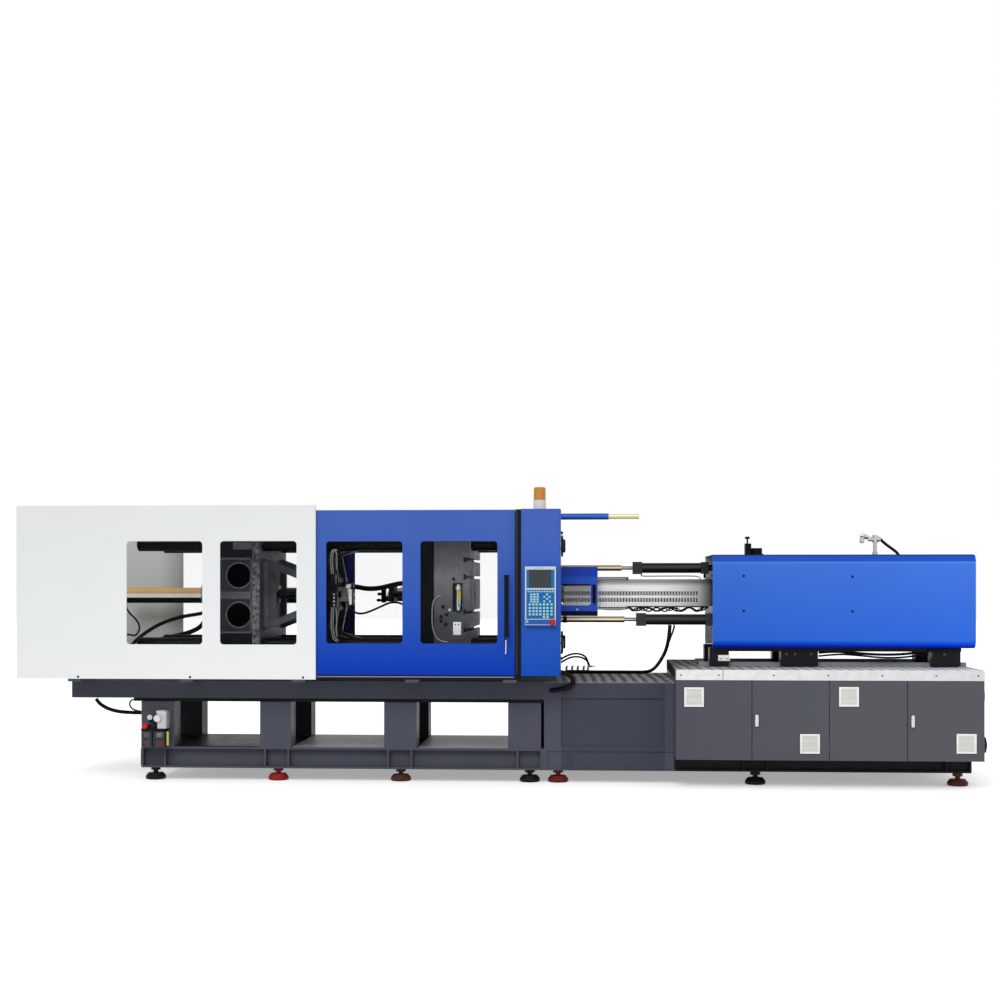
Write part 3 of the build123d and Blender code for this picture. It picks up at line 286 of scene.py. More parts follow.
# Chequer plate: raised lenses on level faces, with long light and dark streaks across them as
# painted glints, and plain folded edges. The upper deck is painted lighter towards the front and
# the right as light, the apron edge whiter at its left end as light, and edge faces that look left
# dark as painted shade
def chequer(name):
    pitch, streak = 0.03, 0.082
    rear, front, upper_deck = 0.75, -0.87, 0.86
    s = Shader(name)
    u = s.math("DIVIDE", s.axis("X"), pitch)
    v = s.math("DIVIDE", s.plus(s.axis("Y"), s.axis("Z")), pitch)
    parity = s.size(s.math("MODULO", s.plus(s.math("FLOOR", u), s.math("FLOOR", v)), 2.0))
    turn = s.minus(s.times(parity, 2.0), 1.0)
    fu = s.minus(s.math("FRACT", u), 0.5)
    fv = s.times(s.minus(s.math("FRACT", v), 0.5), turn)
    along = s.times(s.plus(fu, fv), 1.6)
    across = s.times(s.minus(fu, fv), 5.2)
    span = s.math("SQRT", s.plus(s.times(along, along), s.times(across, across)))
    lens = s.spread(span, 0.75, 1.05, 1.0, 0.0)
    wear = s.noise(3.1, 5.0, None, 0.65)
    # Painted glints: long light and dark streaks across the level faces
    run = s.plus(s.plus(s.axis("X"), s.times(s.axis("Y"), 0.045)), s.times(s.noise(2.0, 2.0), 0.05))
    glint_wave = s.math("SINE", s.times(run, TURN / streak))
    bright = s.spread(s.plus(glint_wave, s.times(lens, 0.6)), -1.0, 1.4, 0.0, 1.0)
    lower = s.mix(bright, (0.11, 0.11, 0.112), grey(0.4))
    # Painted light: the upper deck lighter towards the front and towards the right
    upper = s.mix(
        s.spread(s.axis("Y"), rear, front, 0.0, 1.0),
        s.mix(bright, (0.07, 0.068, 0.07), (0.27, 0.265, 0.27)),
        s.mix(bright, (0.34, 0.34, 0.35), grey(0.76)),
    )
    upper = s.tint(upper, s.spread(s.axis("X"), 1.5, 3.7, 0.62, 1.28))
    top = s.mix(s.above(s.axis("Z"), upper_deck), lower, upper)
    top = s.tint(top, s.spread(wear, 0.3, 0.7, 0.8, 1.2))
    # Painted light: the apron edge whitest at its left end, greyer to the right
    edge = s.steps("X", [
        (390, grey(0.22)), (1420, grey(0.22)), (1430, (0.97, 0.97, 0.95)), (2500, grey(0.9)),
        (3789, (0.81, 0.8, 0.81)),
    ])
    edge = s.tint(edge, s.spread(s.noise(14.0, 6.0, None, 0.8), 0.35, 0.65, 0.86, 1.03))
    # Painted shade: edge faces that look left are dark
    edge = s.mix(s.below(s.facing("X"), -0.5), edge, (0.055, 0.056, 0.06))
    level = s.above(s.facing("Z"), 0.5)
    s.colour(s.mix(level, edge, top))
    s.rough(s.spread(wear, 0.3, 0.7, 0.45, 0.65))
    s.shine(0.0)
    s.bump(s.times(lens, level), 0.9, 0.0018)
    return s.material


def clear(name, colour, alpha, rough=0.06):
    s = Shader(name)
    s.colour(colour)
    smudge = s.noise(3.0, 5.0)
    s.set("Alpha", s.spread(smudge, 0.3, 0.7, alpha * 0.6, alpha * 1.5))
    s.shine(0.2)
    s.rough(s.spread(smudge, 0.3, 0.7, rough, rough + 0.1))
    return s.material


def dress(material, *names):
    for name in names:
        slots = cad_nodes[name].data.materials
        slots.clear()
        slots.append(material)


# White of the fixed guards, painted slightly darker towards the top and towards the left end as
# light and shade; the inside of the far one is painted grey at the left end and near black further
# right, as shade
def guard_white():
    s = Shader("white_guard_paint")
    # Painted light: a little darker towards the top
    painted_light_by_height = s.steps("Z", [
        (838, (0.93, 0.95, 0.96)), (1300, (0.9, 0.93, 0.94)), (2215, (0.84, 0.87, 0.86)),
    ])
    shade = s.mottle(s.noise(1.2, 3.0), 0.015)
    # Painted shade: a little darker towards the left end
    shade = s.times(shade, s.spread(s.axis("X"), -3.8, -2.4, 0.95, 1.0))
    inside = s.far_wall()
    # Painted shade on the inside of the far guard: grey at the left end, near black further right
    back = s.steps("X", [
        (-3811, (0.62, 0.63, 0.61)), (-3120, (0.6, 0.61, 0.59)), (-2880, (0.3, 0.31, 0.295)),
        (-2650, (0.15, 0.15, 0.145)), (-1402, grey(0.15)),
    ])
    s.colour(s.mix(inside, s.tint(painted_light_by_height, shade), back))
    return s.enamel(0.36, 0.35)


# Blue of the sliding doors, painted lighter towards the top as light; the inside of the far one is
# painted near black as shade
def sliding_blue():
    s = Shader("door_blue_paint")
    # Painted light: lighter towards the top
    painted_light_by_height = s.steps("Z", [
        (874, (0.001, 0.038, 0.47)), (970, (0.003, 0.056, 0.49)), (1500, (0.036, 0.112, 0.52)),
        (2050, (0.064, 0.136, 0.49)), (2175, (0.064, 0.136, 0.49)),
    ])
    shade = s.mottle(s.noise(1.7, 4.0), 0.03)
    inside = s.far_wall()
    # Painted shade: the inside of the far door near black
    far_door_shade = s.steps("X", [
        (-1450, (0.002, 0.004, 0.06)), (-1353, (0.0006, 0.0006, 0.001)),
        (172, (0.0006, 0.0006, 0.001)),
    ], True)
    s.colour(s.mix(inside, s.tint(painted_light_by_height, shade), far_door_shade))
    return s.enamel(0.36, 0.1)


dress(guard_white(), "fixed_guards")
dress(sliding_blue(), "front_door", "rear_door")
# Blue of the pillars, painted lighter towards the top as light
dress(painted("pillar_blue_paint", [
    (873, (0.006, 0.075, 0.5)), (1100, (0.017, 0.094, 0.52)), (1500, (0.036, 0.112, 0.52)),
    (2000, (0.06, 0.137, 0.52)), (2180, (0.06, 0.137, 0.52)),
], 0.36, 0.03, spec=0.1), "pillars")


# Blue of the injection cover, white inside; painted in bands by height as light and shade, dark at
# the bottom and top, with painted highlights along the edges at about 1130 and 1765 mm high, and
# lighter towards the right end
def cover_paint():
    s = Shader("cover_blue_paint")
    # Painted light and shade in bands by height, with painted highlights along two edges
    painted_light_by_height = s.steps("Z", [
        (1081, (0.0, 0.008, 0.36)), (1092, (0.0, 0.014, 0.48)), (1108, (0.001, 0.064, 0.77)),
        (1124, (0.01, 0.13, 0.88)), (1135, (0.022, 0.155, 0.9)), (1138, (0.028, 0.15, 0.76)),
        (1463, (0.044, 0.17, 0.75)), (1750, (0.06, 0.19, 0.77)), (1762, (0.085, 0.235, 0.82)),
        (1769, (0.085, 0.235, 0.82)), (1773, (0.004, 0.081, 0.51)), (1816, (0.004, 0.08, 0.5)),
        (1822, (0.0, 0.01, 0.16)), (1827, (0.0, 0.01, 0.16)),
    ])
    shade = s.mottle(s.noise(1.7, 4.0), 0.025)
    # Painted light: lighter towards the right end
    along = s.spread(s.axis("X"), 1.738, 3.811, 0.9, 1.06)
    inside = s.far_wall(0.2)
    paint = s.tint(painted_light_by_height, s.times(shade, along))
    s.colour(s.mix(inside, paint, (0.93, 0.93, 0.92)))
    return s.enamel(0.35, 0.1)


# Blue of the purge guard, white inside and black on its grip; painted in bands by height as light
# and shade, dark along the bottom and top and lightest in the middle
def hood_paint():
    s = Shader("hood_blue_paint")
    # Painted light and shade in bands by height
    painted_light_by_height = s.steps("Z", [
        (1329, (0.0, 0.003, 0.13)), (1368, (0.001, 0.005, 0.18)), (1372, (0.03, 0.085, 0.5)),
        (1420, (0.036, 0.1, 0.54)), (1600, (0.026, 0.1, 0.58)), (1650, (0.024, 0.094, 0.56)),
        (1655, (0.006, 0.04, 0.4)), (1722, (0.005, 0.036, 0.37)), (1732, (0.002, 0.014, 0.17)),
    ])
    shade = s.mottle(s.noise(1.7, 4.0), 0.03)
    centre = s.size(s.axis("Y"))
    behind = s.times(s.axis("Y"), s.facing("Y"))
    inside = s.times(s.below(behind, -0.05), s.above(centre, 0.3))
    grip = s.below(s.axis("Y"), -0.3325)
    paint = s.mix(inside, s.tint(painted_light_by_height, shade), grey(0.95))
    s.colour(s.mix(grip, paint, (0.003, 0.003, 0.004)))
    return s.enamel(0.33, 0.08)


dress(cover_paint(), "injection_cover")
dress(hood_paint(), "purge_guard")
# Blue tube with a painted highlight along the middle and painted shade along top and bottom
dress(painted_sheen_bar("tube_blue_paint", [
    (0.0, (0.006, 0.04, 0.33)), (0.35, (0.02, 0.09, 0.52)), (0.55, (0.045, 0.14, 0.64)),
    (0.75, (0.02, 0.09, 0.5)), (1.0, (0.01, 0.06, 0.42)),
]), "safety_bar_tube")
# Grey of the clamp base: the near-black band from 640 to 664 mm high is painted shade in the recess
# under the beam; it is painted lighter upwards as light, and faces deeper than the front are
# darkened as painted shade
dress(painted("beam_grey_paint", [
    (100, (0.072, 0.076, 0.103)), (225, (0.074, 0.079, 0.107)), (280, (0.08, 0.086, 0.116)),
    (636, (0.086, 0.092, 0.125)), (640, (0.003, 0.004, 0.006)), (664, (0.003, 0.004, 0.006)),
    (668, (0.074, 0.079, 0.106)), (808, (0.078, 0.083, 0.11)),
], 0.45, 0.06, painted_recess_shade=(-470, -420, 0.1)), "clamp_base")
# Grey of the injection base: the middle panel is painted darker as shade in its recess, and from
# 1424 mm on, behind the cabinets, it is painted near black as shade
dress(painted("frame_grey_paint", [
    (380, (0.08, 0.086, 0.118)), (525, (0.058, 0.063, 0.087)), (1343, (0.08, 0.086, 0.118)),
    (1424, (0.015, 0.016, 0.02)), (3800, (0.015, 0.016, 0.02)),
], 0.45, 0.08, axis="X", sharp=True), "injection_base")
# Grey of the cabinets, painted lighter towards the right as light
dress(painted("cabinet_grey_paint", [
    (1425, (0.086, 0.087, 0.114)), (2700, (0.098, 0.103, 0.119)), (3789, (0.1, 0.105, 0.118)),
], 0.42, 0.03, cloud=0.9, axis="X"), "cabinet_shell", "cabinet_door_1", "cabinet_door_2",
    "cabinet_door_3", "cabinet_door_4")
dark_paint = painted("dark_paint", (0.006, 0.0065, 0.008), 0.42, 0.15)
bracket_grey = painted("bracket_grey_paint", (0.012, 0.012, 0.013), 0.4, 0.2)


# Black casting of the tailstock: the panels between ribs are painted dark as shade, in bands by
# height, and the flange is speckled
def tailstock_cast():
    s = Shader("tailstock_paint")
    lump = s.noise(5.0, 6.0, None, 0.7)
    body = s.tint((0.078, 0.079, 0.094), s.spread(lump, 0.3, 0.7, 0.6, 1.4))
    specks = s.spread(s.noise(28.0, 5.0, None, 0.8), 0.42, 0.62, 0.0, 1.0)
    speck = s.mix(specks, (0.045, 0.045, 0.052), (0.26, 0.26, 0.27))
    flange = s.times(s.below(s.axis("Y"), -0.545), s.above(s.axis("X"), -1.977))
    front = s.below(s.size(s.plus(s.axis("Y"), 0.5)), 0.003)
    # Painted shade: the front panels between ribs take these near-black to dark grey colours, in
    # bands by height
    shaded_panel = s.times(front, s.below(s.axis("X"), -1.99))
    height = s.steps("Z", [
        (967, (0.004, 0.004, 0.006)), (1190, (0.03, 0.03, 0.038)), (1463, (0.075, 0.076, 0.09)),
        (1531, (0.034, 0.034, 0.043)), (1806, (0.005, 0.005, 0.007)), (2047, (0.005, 0.005, 0.007)),
    ], True)
    s.colour(s.mix(shaded_panel, s.mix(flange, body, speck), height))
    return s.cast(0.45, 0.15, lump, 0.5)


dress(tailstock_cast(), "tailstock")
cast_rib = casting("cast_rib_paint", (0.13, 0.13, 0.145), 0.42, 0.5, 0.5)
cast_black = casting("cast_black_paint", (0.075, 0.076, 0.09), 0.45, 0.55, 0.45)


# Black casting whose machined mould face is bright between the slots; the slot walls are painted
# near black as shade, and the body is painted lightest about 1680 mm high and darker below and
# above, as light and shade
def platen_cast():
    s = Shader("cast_platen_paint")
    # Painted light and shade: lightest about 1680 mm high
    painted_light_by_height = s.steps("Z", [
        (1100, (0.062, 0.063, 0.07)), (1250, (0.076, 0.077, 0.084)), (1450, (0.125, 0.126, 0.135)),
        (1680, (0.235, 0.236, 0.25)), (1840, (0.18, 0.181, 0.192)), (2000, (0.055, 0.055, 0.06)),
    ])
    lump = s.noise(5.0, 6.0, None, 0.7)
    body = s.tint(painted_light_by_height, s.spread(lump, 0.3, 0.7, 0.72, 1.28))
    patches = s.spread(s.noise(7.0, 6.0, None, 0.8), 0.4, 0.62, 0.0, 1.0)
    patch = s.mix(patches, (0.3, 0.3, 0.31), grey(1.0))
    offset = s.minus(s.axis("X"), -0.207)
    face = s.times(s.below(s.size(offset), 0.004), s.above(s.facing("X"), 0.5))
    depth = s.size(s.plus(offset, 0.03))
    # Painted shade: walls of the slots next to the mould face near black
    slot_shade = s.times(s.below(depth, 0.0265), s.below(s.size(s.facing("Y")), 0.5))
    s.colour(s.mix(slot_shade, s.mix(face, body, patch), grey(0.001)))
    return s.cast(0.45, 0.12, lump, 0.5)


dress(platen_cast(), "moving_platen", "fixed_platen")
# Toggle links near black, much darker than the other castings, as painted shade inside the clamp
dress(
    casting("link_cast_paint", (0.004, 0.004, 0.005), 0.4, 0.45), "upper_rear_link",
    "lower_rear_link", "upper_front_link", "lower_front_link", "upper_crosshead_link",
    "lower_crosshead_link",
)
# Near black on the tie bars, ejector, nuts and pins, standing for the shade inside the guards
dress(
    painted("shaded_black_steel", (0.003, 0.003, 0.0035), 0.35, 0.2, spec=0.06), "ejector",
    "tie_bars", "tie_bar_nuts", "height_nuts", "tailstock_pins", "platen_pins",
)
ground_steel = steel("ground_steel", (0.56, 0.57, 0.58), 0.24)
# Slide rails near black up to 200 mm along, as painted shade inside the clamp, steel grey from
# there
dress(painted("rail_steel", [
    (-2800, (0.035, 0.037, 0.048)), (200, (0.3, 0.3, 0.31)), (1500, (0.28, 0.28, 0.29)),
    (3800, (0.28, 0.28, 0.29)),
], 0.35, 0.15, axis="X", sharp=True), "slide_rails")
dress(steel("pin_steel", (0.3, 0.3, 0.31), 0.3, (60.0, 1.0, 60.0)), "clamp_cylinder")


# Bright jacket with two rows of pressed slits, painted darker along the top and towards its right
# end under the cover, as light and shade
def jacket_sheet():
    s = Shader("jacket_steel")
    # Painted shade: darkening towards the right end under the cover
    along = s.steps("X", [
        (500, (1.0, 1.0, 0.98)), (1300, (1.0, 1.0, 0.98)), (1490, (0.8, 0.8, 0.78)),
        (1650, (0.48, 0.48, 0.47)), (1690, grey(0.28)), (1745, grey(0.07)), (1800, grey(0.02)),
    ])
    # Painted light and shade by height: darker along the top and slightly at the bottom
    painted_light_by_height = s.steps("Z", [
        (1410, grey(0.7)), (1418, grey(0.95)), (1470, grey(1.0)), (1560, grey(1.0)),
        (1578, grey(0.95)), (1590, grey(0.5)), (1610, grey(0.24)), (1628, grey(0.3)),
        (1632, grey(0.48)),
    ])
    grain = s.spread(s.noise(24.0, 4.0, (2.0, 50.0, 50.0), 0.7), 0.25, 0.75, 0.96, 1.03)
    sheet = s.tint(s.tint(along, painted_light_by_height), grain)
    turn = s.math("FRACT", s.math("DIVIDE", s.minus(s.axis("X"), 0.557), 0.024))
    slit = s.below(turn, 0.42)
    for low, high in ((1.498, 1.532), (1.444, 1.478)):
        middle = s.minus(s.axis("Z"), (low + high) / 2)
        row = s.below(s.size(middle), (high - low) / 2)
        pressed = s.times(row, slit)
        sheet = s.mix(s.times(pressed, s.below(s.axis("X"), 1.645)), sheet, grey(0.5))
    s.colour(sheet)
    s.rough(s.spread(s.noise(9.0, 3.0), 0.3, 0.7, 0.38, 0.5))
    s.shine(0.2)
    return s.material


dress(jacket_sheet(), "barrel_cover")
dress(steel("barrel_steel", (0.34, 0.33, 0.31), 0.4), "barrel")
# Gold sleeves, and steel rods beyond 1.03 m, each with a painted highlight along the middle and
# painted shade along top and bottom
dress(painted_sheen_bar("zinc_gold", [
    (0.0, (0.006, 0.004, 0.001)), (0.25, (0.03, 0.022, 0.008)), (0.38, (0.32, 0.25, 0.12)),
    (0.42, (0.98, 0.88, 0.6)), (0.64, (0.98, 0.88, 0.6)), (0.74, (0.34, 0.26, 0.13)),
    (0.9, (0.2, 0.15, 0.07)), (1.0, (0.1, 0.08, 0.04)),
], [
    (0.0, grey(0.01)), (0.3, grey(0.06)), (0.45, (0.8, 0.8, 0.82)), (0.58, (0.8, 0.8, 0.82)),
    (0.72, grey(0.12)), (1.0, grey(0.02)),
]), "carriage_rods")
bright_fitting = steel("bright_fitting", (0.66, 0.66, 0.65), 0.25, (8.0, 8.0, 8.0), 0.1, 0.8)
# Black cylinders with a painted highlight along the middle
dress(painted_sheen_bar("cylinder_black_paint", [
    (0.0, grey(0.002)), (0.36, grey(0.003)), (0.47, (0.022, 0.022, 0.023)),
    (0.55, (0.05, 0.05, 0.052)), (0.66, grey(0.012)), (0.8, grey(0.002)), (1.0, grey(0.002)),
]), "carriage_cylinders")
rubber = painted("black_rubber", (0.004, 0.004, 0.005), 0.5, 0.15, peel=0.3)
black_plastic = painted("black_plastic", (0.004, 0.004, 0.005), 0.38, 0.1)
dress(
    clear("clear_pane", (0.04, 0.05, 0.055), 0.018), "guard_panes", "front_door_panes",
    "rear_door_panes",
)
# Cable tray: near black along the bottom as painted shade, then a silver band and a gold zinc band,
# the gold brightest in its middle as a painted highlight
dress(painted("tray_zinc_and_painted_shade", [
    (1424, grey(0.002)), (1470, grey(0.002)), (1474, grey(0.95)), (1506, (0.97, 0.96, 0.95)),
    (1510, (0.8, 0.46, 0.17)), (1540, (0.97, 0.62, 0.26)), (1570, (0.76, 0.52, 0.22)),
], 0.35, 0.2, metal=0.3), "cable_tray")
dress(chequer("deck_chequer_plate"), "deck")
# Levelling feet painted near black or red at different strengths from foot to foot, as light and
# shade
dress(painted("feet_colour_and_painted_shade", [
    (-3000, (0.01, 0.01, 0.011)), (-2300, (0.34, 0.02, 0.018)), (-1300, (0.075, 0.032, 0.024)),
    (-300, (0.01, 0.01, 0.011)), (380, (0.15, 0.016, 0.014)), (1300, (0.01, 0.01, 0.011)),
    (2900, (0.12, 0.03, 0.026)), (3800, (0.12, 0.03, 0.026)),
], 0.4, 0.2, axis="X", sharp=True), "levelling_feet")
# Drip pans near black left of -1880 mm, grey from there to the right
dress(painted("pan_dark_to_grey", [
    (-2900, (0.004, 0.004, 0.006)), (-1880, (0.3, 0.3, 0.31)), (200, (0.3, 0.3, 0.31)),
], 0.4, 0.15, axis="X", sharp=True), "clamp_pans")
dress(
    painted("screen_glass", (0.055, 0.063, 0.07), 0.15, 0.15, peel=0.0, spec=0.1),
    "controller_screen",
)
# Blue of the keypad, painted darker along the bottom as shade
dress(painted("keypad_blue", [
    (1320, (0.02, 0.12, 0.33)), (1338, (0.02, 0.13, 0.35)), (1345, (0.012, 0.15, 0.43)),
    (1552, (0.012, 0.16, 0.47)),
], 0.35, 0.04), "keypad")
dress(painted("case_blue", [
    (1260, (0.028, 0.125, 0.44)), (1318, (0.014, 0.17, 0.43)), (1730, (0.014, 0.17, 0.43)),
], 0.38, 0.04, sharp=True), "controller_case")
case_grey = painted("case_grey", (0.36, 0.37, 0.37), 0.38, 0.1)
lube_light = painted("lube_light", (0.62, 0.63, 0.64), 0.38, 0.15)
silver_frame = painted("silver_frame", (0.6, 0.66, 0.74), 0.3, 0.05, spec=0.4)
strip_grey = painted("strip_grey", (0.26, 0.29, 0.36), 0.4, 0.05)
jamb_grey = painted("jamb_grey", (0.026, 0.028, 0.028), 0.4, 0.1)
signal_red = painted("signal_red", (0.52, 0.014, 0.012), 0.3, 0.05, coat=0.3)
cream = painted("cream_plastic", (0.93, 0.93, 0.9), 0.45, 0.03)
vent_dark = painted("vent_dark", (0.52, 0.51, 0.48), 0.6, 0.06)
beacon_white = painted("beacon_white", (0.8, 0.76, 0.7), 0.35, 0.03)
amber = Shader("amber_dome")
amber.colour(amber.mix(amber.noise(40.0, 2.0), (0.72, 0.3, 0.016), (0.9, 0.42, 0.03)))
amber.rough(0.18)
amber.set("Transmission Weight", 0.25)
amber.bump(amber.math("SINE", amber.times(amber.axis("Z"), 900.0)), 0.5, 0.002)
dress(amber.material, "beacon_dome")
dress(steel("yellow_bar", (0.74, 0.7, 0.42), 0.28, (1.0, 40.0, 40.0), 0.1, 0.3), "safety_bar")
copper = steel("copper", (0.7, 0.34, 0.22), 0.3, (1.0, 30.0, 30.0), 0.15)
orange_fluid = painted("orange_fluid", (0.42, 0.13, 0.03), 0.2, 0.15)
red_fluid = painted("red_fluid", (0.42, 0.03, 0.02), 0.2, 0.15)
tank_plastic = clear("tank_plastic", (0.06, 0.065, 0.085), 0.5, 0.2)
key_light = painted("key_light", (0.42, 0.68, 0.7), 0.4, 0.04)
key_green = painted("key_green", (0.4, 0.76, 0.62), 0.4, 0.04)
strip_yellow = painted("strip_yellow", (0.62, 0.56, 0.1), 0.4, 0.06)
strip_cyan = painted("strip_cyan", (0.1, 0.42, 0.5), 0.4, 0.06)


dress(dark_paint, "door_rails", "lube_unit", "end_fan", "crosshead")
dress(bracket_grey, "injection_carriage")
dress(ground_steel, "screw")
dress(black_plastic, "front_door_handle", "rear_door_handle", "throat_slide")
dress(bright_fitting, "cabinet_handle_1", "cabinet_handle_2")
dress(signal_red, "stop_button")
dress(beacon_white, "beacon_base")


# Piece building, in millimetres
class Piece:
    def __init__(self, name):
        self.name = name
        self.mesh = bmesh.new()

    def take(self, part, paint):
        for face in part.faces:
            face.material_index = paint
        data = bpy.data.meshes.new("scrap")
        part.to_mesh(data)
        part.free()
        self.mesh.from_mesh(data)
        bpy.data.meshes.remove(data)

    # Closed skin over a row of rings
    def skin(self, part, rings, paint, turn=False):
        for low, high in zip(rings[:-1], rings[1:]):
            for step in range(len(low)):
                after = (step + 1) % len(low)
                part.faces.new((low[step], low[after], high[after], high[step]))
        part.faces.new(rings[0][::-1])
        part.faces.new(rings[-1])
        if turn:
            bmesh.ops.recalc_face_normals(part, faces=part.faces[:])
        self.take(part, paint)

    def block(self, x0, x1, y0, y1, z0, z1, edge=1.5, paint=0, rounds=2):
        part = bmesh.new()
        bmesh.ops.create_cube(part, size=1.0)
        sides = ((x0, x1), (y0, y1), (z0, z1))
        for vertex in part.verts:
            vertex.co = [high if c > 0 else low for c, (low, high) in zip(vertex.co, sides)]
        thin = min(x1 - x0, y1 - y0, z1 - z0)
        bmesh.ops.bevel(
            part, geom=part.edges[:], offset=min(edge, thin * 0.4), segments=rounds,
            profile=0.5, affect="EDGES",
        )
        self.take(part, paint)

    def turned(self, origin, direction, profile, sides=24, paint=0):
        part = bmesh.new()
        turn = Vector((0, 0, 1)).rotation_difference(Vector(direction).normalized()).to_matrix()
        rings = []
        for run, radius in profile:
            ring = []
            for step in range(sides):
                angle = TURN * (step + 0.5) / sides
                spot = Vector((radius * math.cos(angle), radius * math.sin(angle), run))
                ring.append(part.verts.new(turn @ spot + Vector(origin)))
            rings.append(ring)
        self.skin(part, rings, paint)

    def plate(self, outline, y0, y1, paint=0, edge=1.0):
        part = bmesh.new()
        front = [part.verts.new((x, y0, z)) for x, z in outline]
        back = [part.verts.new((x, y1, z)) for x, z in outline]
        part.faces.new(front)
        part.faces.new(back[::-1])
        for step in range(len(outline)):
            after = (step + 1) % len(outline)
            part.faces.new((front[after], front[step], back[step], back[after]))
        bmesh.ops.recalc_face_normals(part, faces=part.faces[:])
        bmesh.ops.bevel(
            part, geom=part.edges[:], offset=edge, segments=2, profile=0.5, affect="EDGES"
        )
        self.take(part, paint)

    def pipe(self, path, radius, sides=12, paint=0, ribs=None):
        part = bmesh.new()
        path = [Vector(p) for p in path]
        rings = []
        up = Vector((0, 1, 0))
        travelled = 0.0
        for step, spot in enumerate(path):
            before = path[max(step - 1, 0)]
            after = path[min(step + 1, len(path) - 1)]
            ahead = (after - before).normalized()
            side = ahead.cross(up)
            if side.length < 0.05:
                side = ahead.cross(Vector((1, 0, 0)))
            side.normalize()
            up = side.cross(ahead).normalized()
            travelled += (spot - before).length if step else 0.0
            grown = radius
            if ribs:
                grown = radius * (1.0 - ribs[1] * (math.sin(travelled / ribs[0] * TURN) < 0))
            rings.append([
                part.verts.new(
                    spot + (side * math.cos(a) + up * math.sin(a)) * grown
                ) for a in [TURN * n / sides for n in range(sides)]
            ])
        self.skin(part, rings, paint, True)

    def done(self, body, *materials, like=None, sharp=35.0):
        data = bpy.data.meshes.new(self.name)
        bmesh.ops.scale(self.mesh, vec=(MM, MM, MM), verts=self.mesh.verts[:])
        self.mesh.to_mesh(data)
        self.mesh.free()
        for material in materials:
            data.materials.append(material)
        data.shade_smooth()
        data.set_sharp_from_angle(angle=math.radians(sharp))
        made = add(self.name, data)
        if body:
            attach(made, body)
        return made


# Smooth line through a hose's own control points, in millimetres
def spline(name, points, fine=8):
    data = bpy.data.curves.new(name, "CURVE")
    data.dimensions = "3D"
    data.resolution_u = fine
    line = data.splines.new("NURBS")
    line.points.add(len(points) - 1)
    for point, (x, y, z) in zip(line.points, points):
        point.co = (x * MM, y * MM, z * MM, 1.0)
    line.order_u = 3
    line.use_endpoint_u = True
    return data


def smooth_path(points):
    data = spline("scrap_line", points, 16)
    holder = add("scrap_line", data)
    mesh = bpy.data.meshes.new_from_object(holder)
    path = [v.co.copy() for v in mesh.vertices]
    bpy.data.objects.remove(holder)
    bpy.data.curves.remove(data)
    bpy.data.meshes.remove(mesh)
    return path


def even_path(path, step):
    made = [path[0]]
    left = step
    for first, second in zip(path[:-1], path[1:]):
        run = (second - first).length
        gone = 0.0
        while run - gone >= left:
            gone += left
            made.append(first.lerp(second, gone / run))
            left = step
        left -= run - gone
    if (made[-1] - path[-1]).length > step * 0.2:
        made.append(path[-1])
    return made


def bare_tube(name, body, points, diameter, material):
    data = spline(name, points)
    data.bevel_depth = diameter * MM / 2
    data.bevel_resolution = 3
    data.use_fill_caps = True
    data.materials.append(material)
    made = add(name, data)
    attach(made, body)
    return made


def hose(name, body, points, diameter, material):
    made = bare_tube(name, body, points, diameter, material)


def ribbed_hose(name, body, points, diameter, material, pitch, depth):
    path = even_path(smooth_path(points), pitch * MM / 4)
    piece = Piece(name)
    piece.pipe([p / MM for p in path], diameter / 2, 14, 0, (pitch, depth))
    made = piece.done(body, material, like="front_door_handle", sharp=25.0)


# Hose that feeds the injection carriage, between two bodies
carriage_hose_points = [
    (1405, -290, 1258), (1400, -288, 1190), (1390, -270, 1110), (1372, -150, 1030),
    (1346, 150, 950), (1318, 400, 884), (1282, 560, 842), (1230, 618, 824), (1130, 632, 824),
    (980, 634, 824), (756, 634, 824), (627, 634, 824), (540, 630, 824),
]
carriage_path = even_path(smooth_path(carriage_hose_points), 0.012)
piece = Piece("carriage_hose")
piece.pipe([p / MM for p in carriage_path], 15, 14)
carriage_hose = piece.done(None, rubber, like="front_door_handle")
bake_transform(carriage_hose)
hose("carriage_hose_lead", UNIT, [
    (1442, -286, 1258), (1436, -286, 1228), (1424, -286, 1190), (1410, -286, 1160),
    (1402, -284, 1130),
], 16, rubber)

# Water taps at the back of the deck with their two hoses
tap_metal = painted("tap_metal", (0.62, 0.55, 0.47), 0.3, 0.25, cloud=20.0, spec=0.5)
tap_blocks = []
for name, x0, x1, tap_xs in (
    ("tap_block", 528, 616, (541, 591)), ("tap_manifold", 618, 745, (640, 691)),
):
    piece = Piece(name)
    piece.block(x0, x1, 706, 734, 812, 838, 3)
    piece.block(x0 + 20, x0 + 36, 710, 730, 807.5, 814, 1)
    for x in tap_xs:
        piece.turned((x, 716, 836), (0.1, -0.2, 1), [
            (0, 9), (10, 9), (11, 12), (24, 12), (26, 6), (36, 6),
        ], 8)
        piece.turned((x + 4, 706, 868), (1, 0, 0.5), [(-9, 5), (-7, 8), (8, 8), (10, 5)], 12)
    if x1 > 700:
        piece.turned((732, 718, 836), UP, [(0, 9), (26, 9), (28, 7), (44, 7)], 12)
    tap_blocks.append(piece.done(BASE, tap_metal, like="tie_bars"))
taps = tap_blocks[1]
piece = Piece("tap_lever")
piece.turned((738, 718, 868), (1, 0, 0.05), [(0, 6), (8, 9), (26, 9), (28, 6), (60, 4)], 12)
piece.turned((742, 718, 874), UP, [(0, 6), (10, 6)], 12)
lever = piece.done(BASE, tap_metal, like="tie_bars")
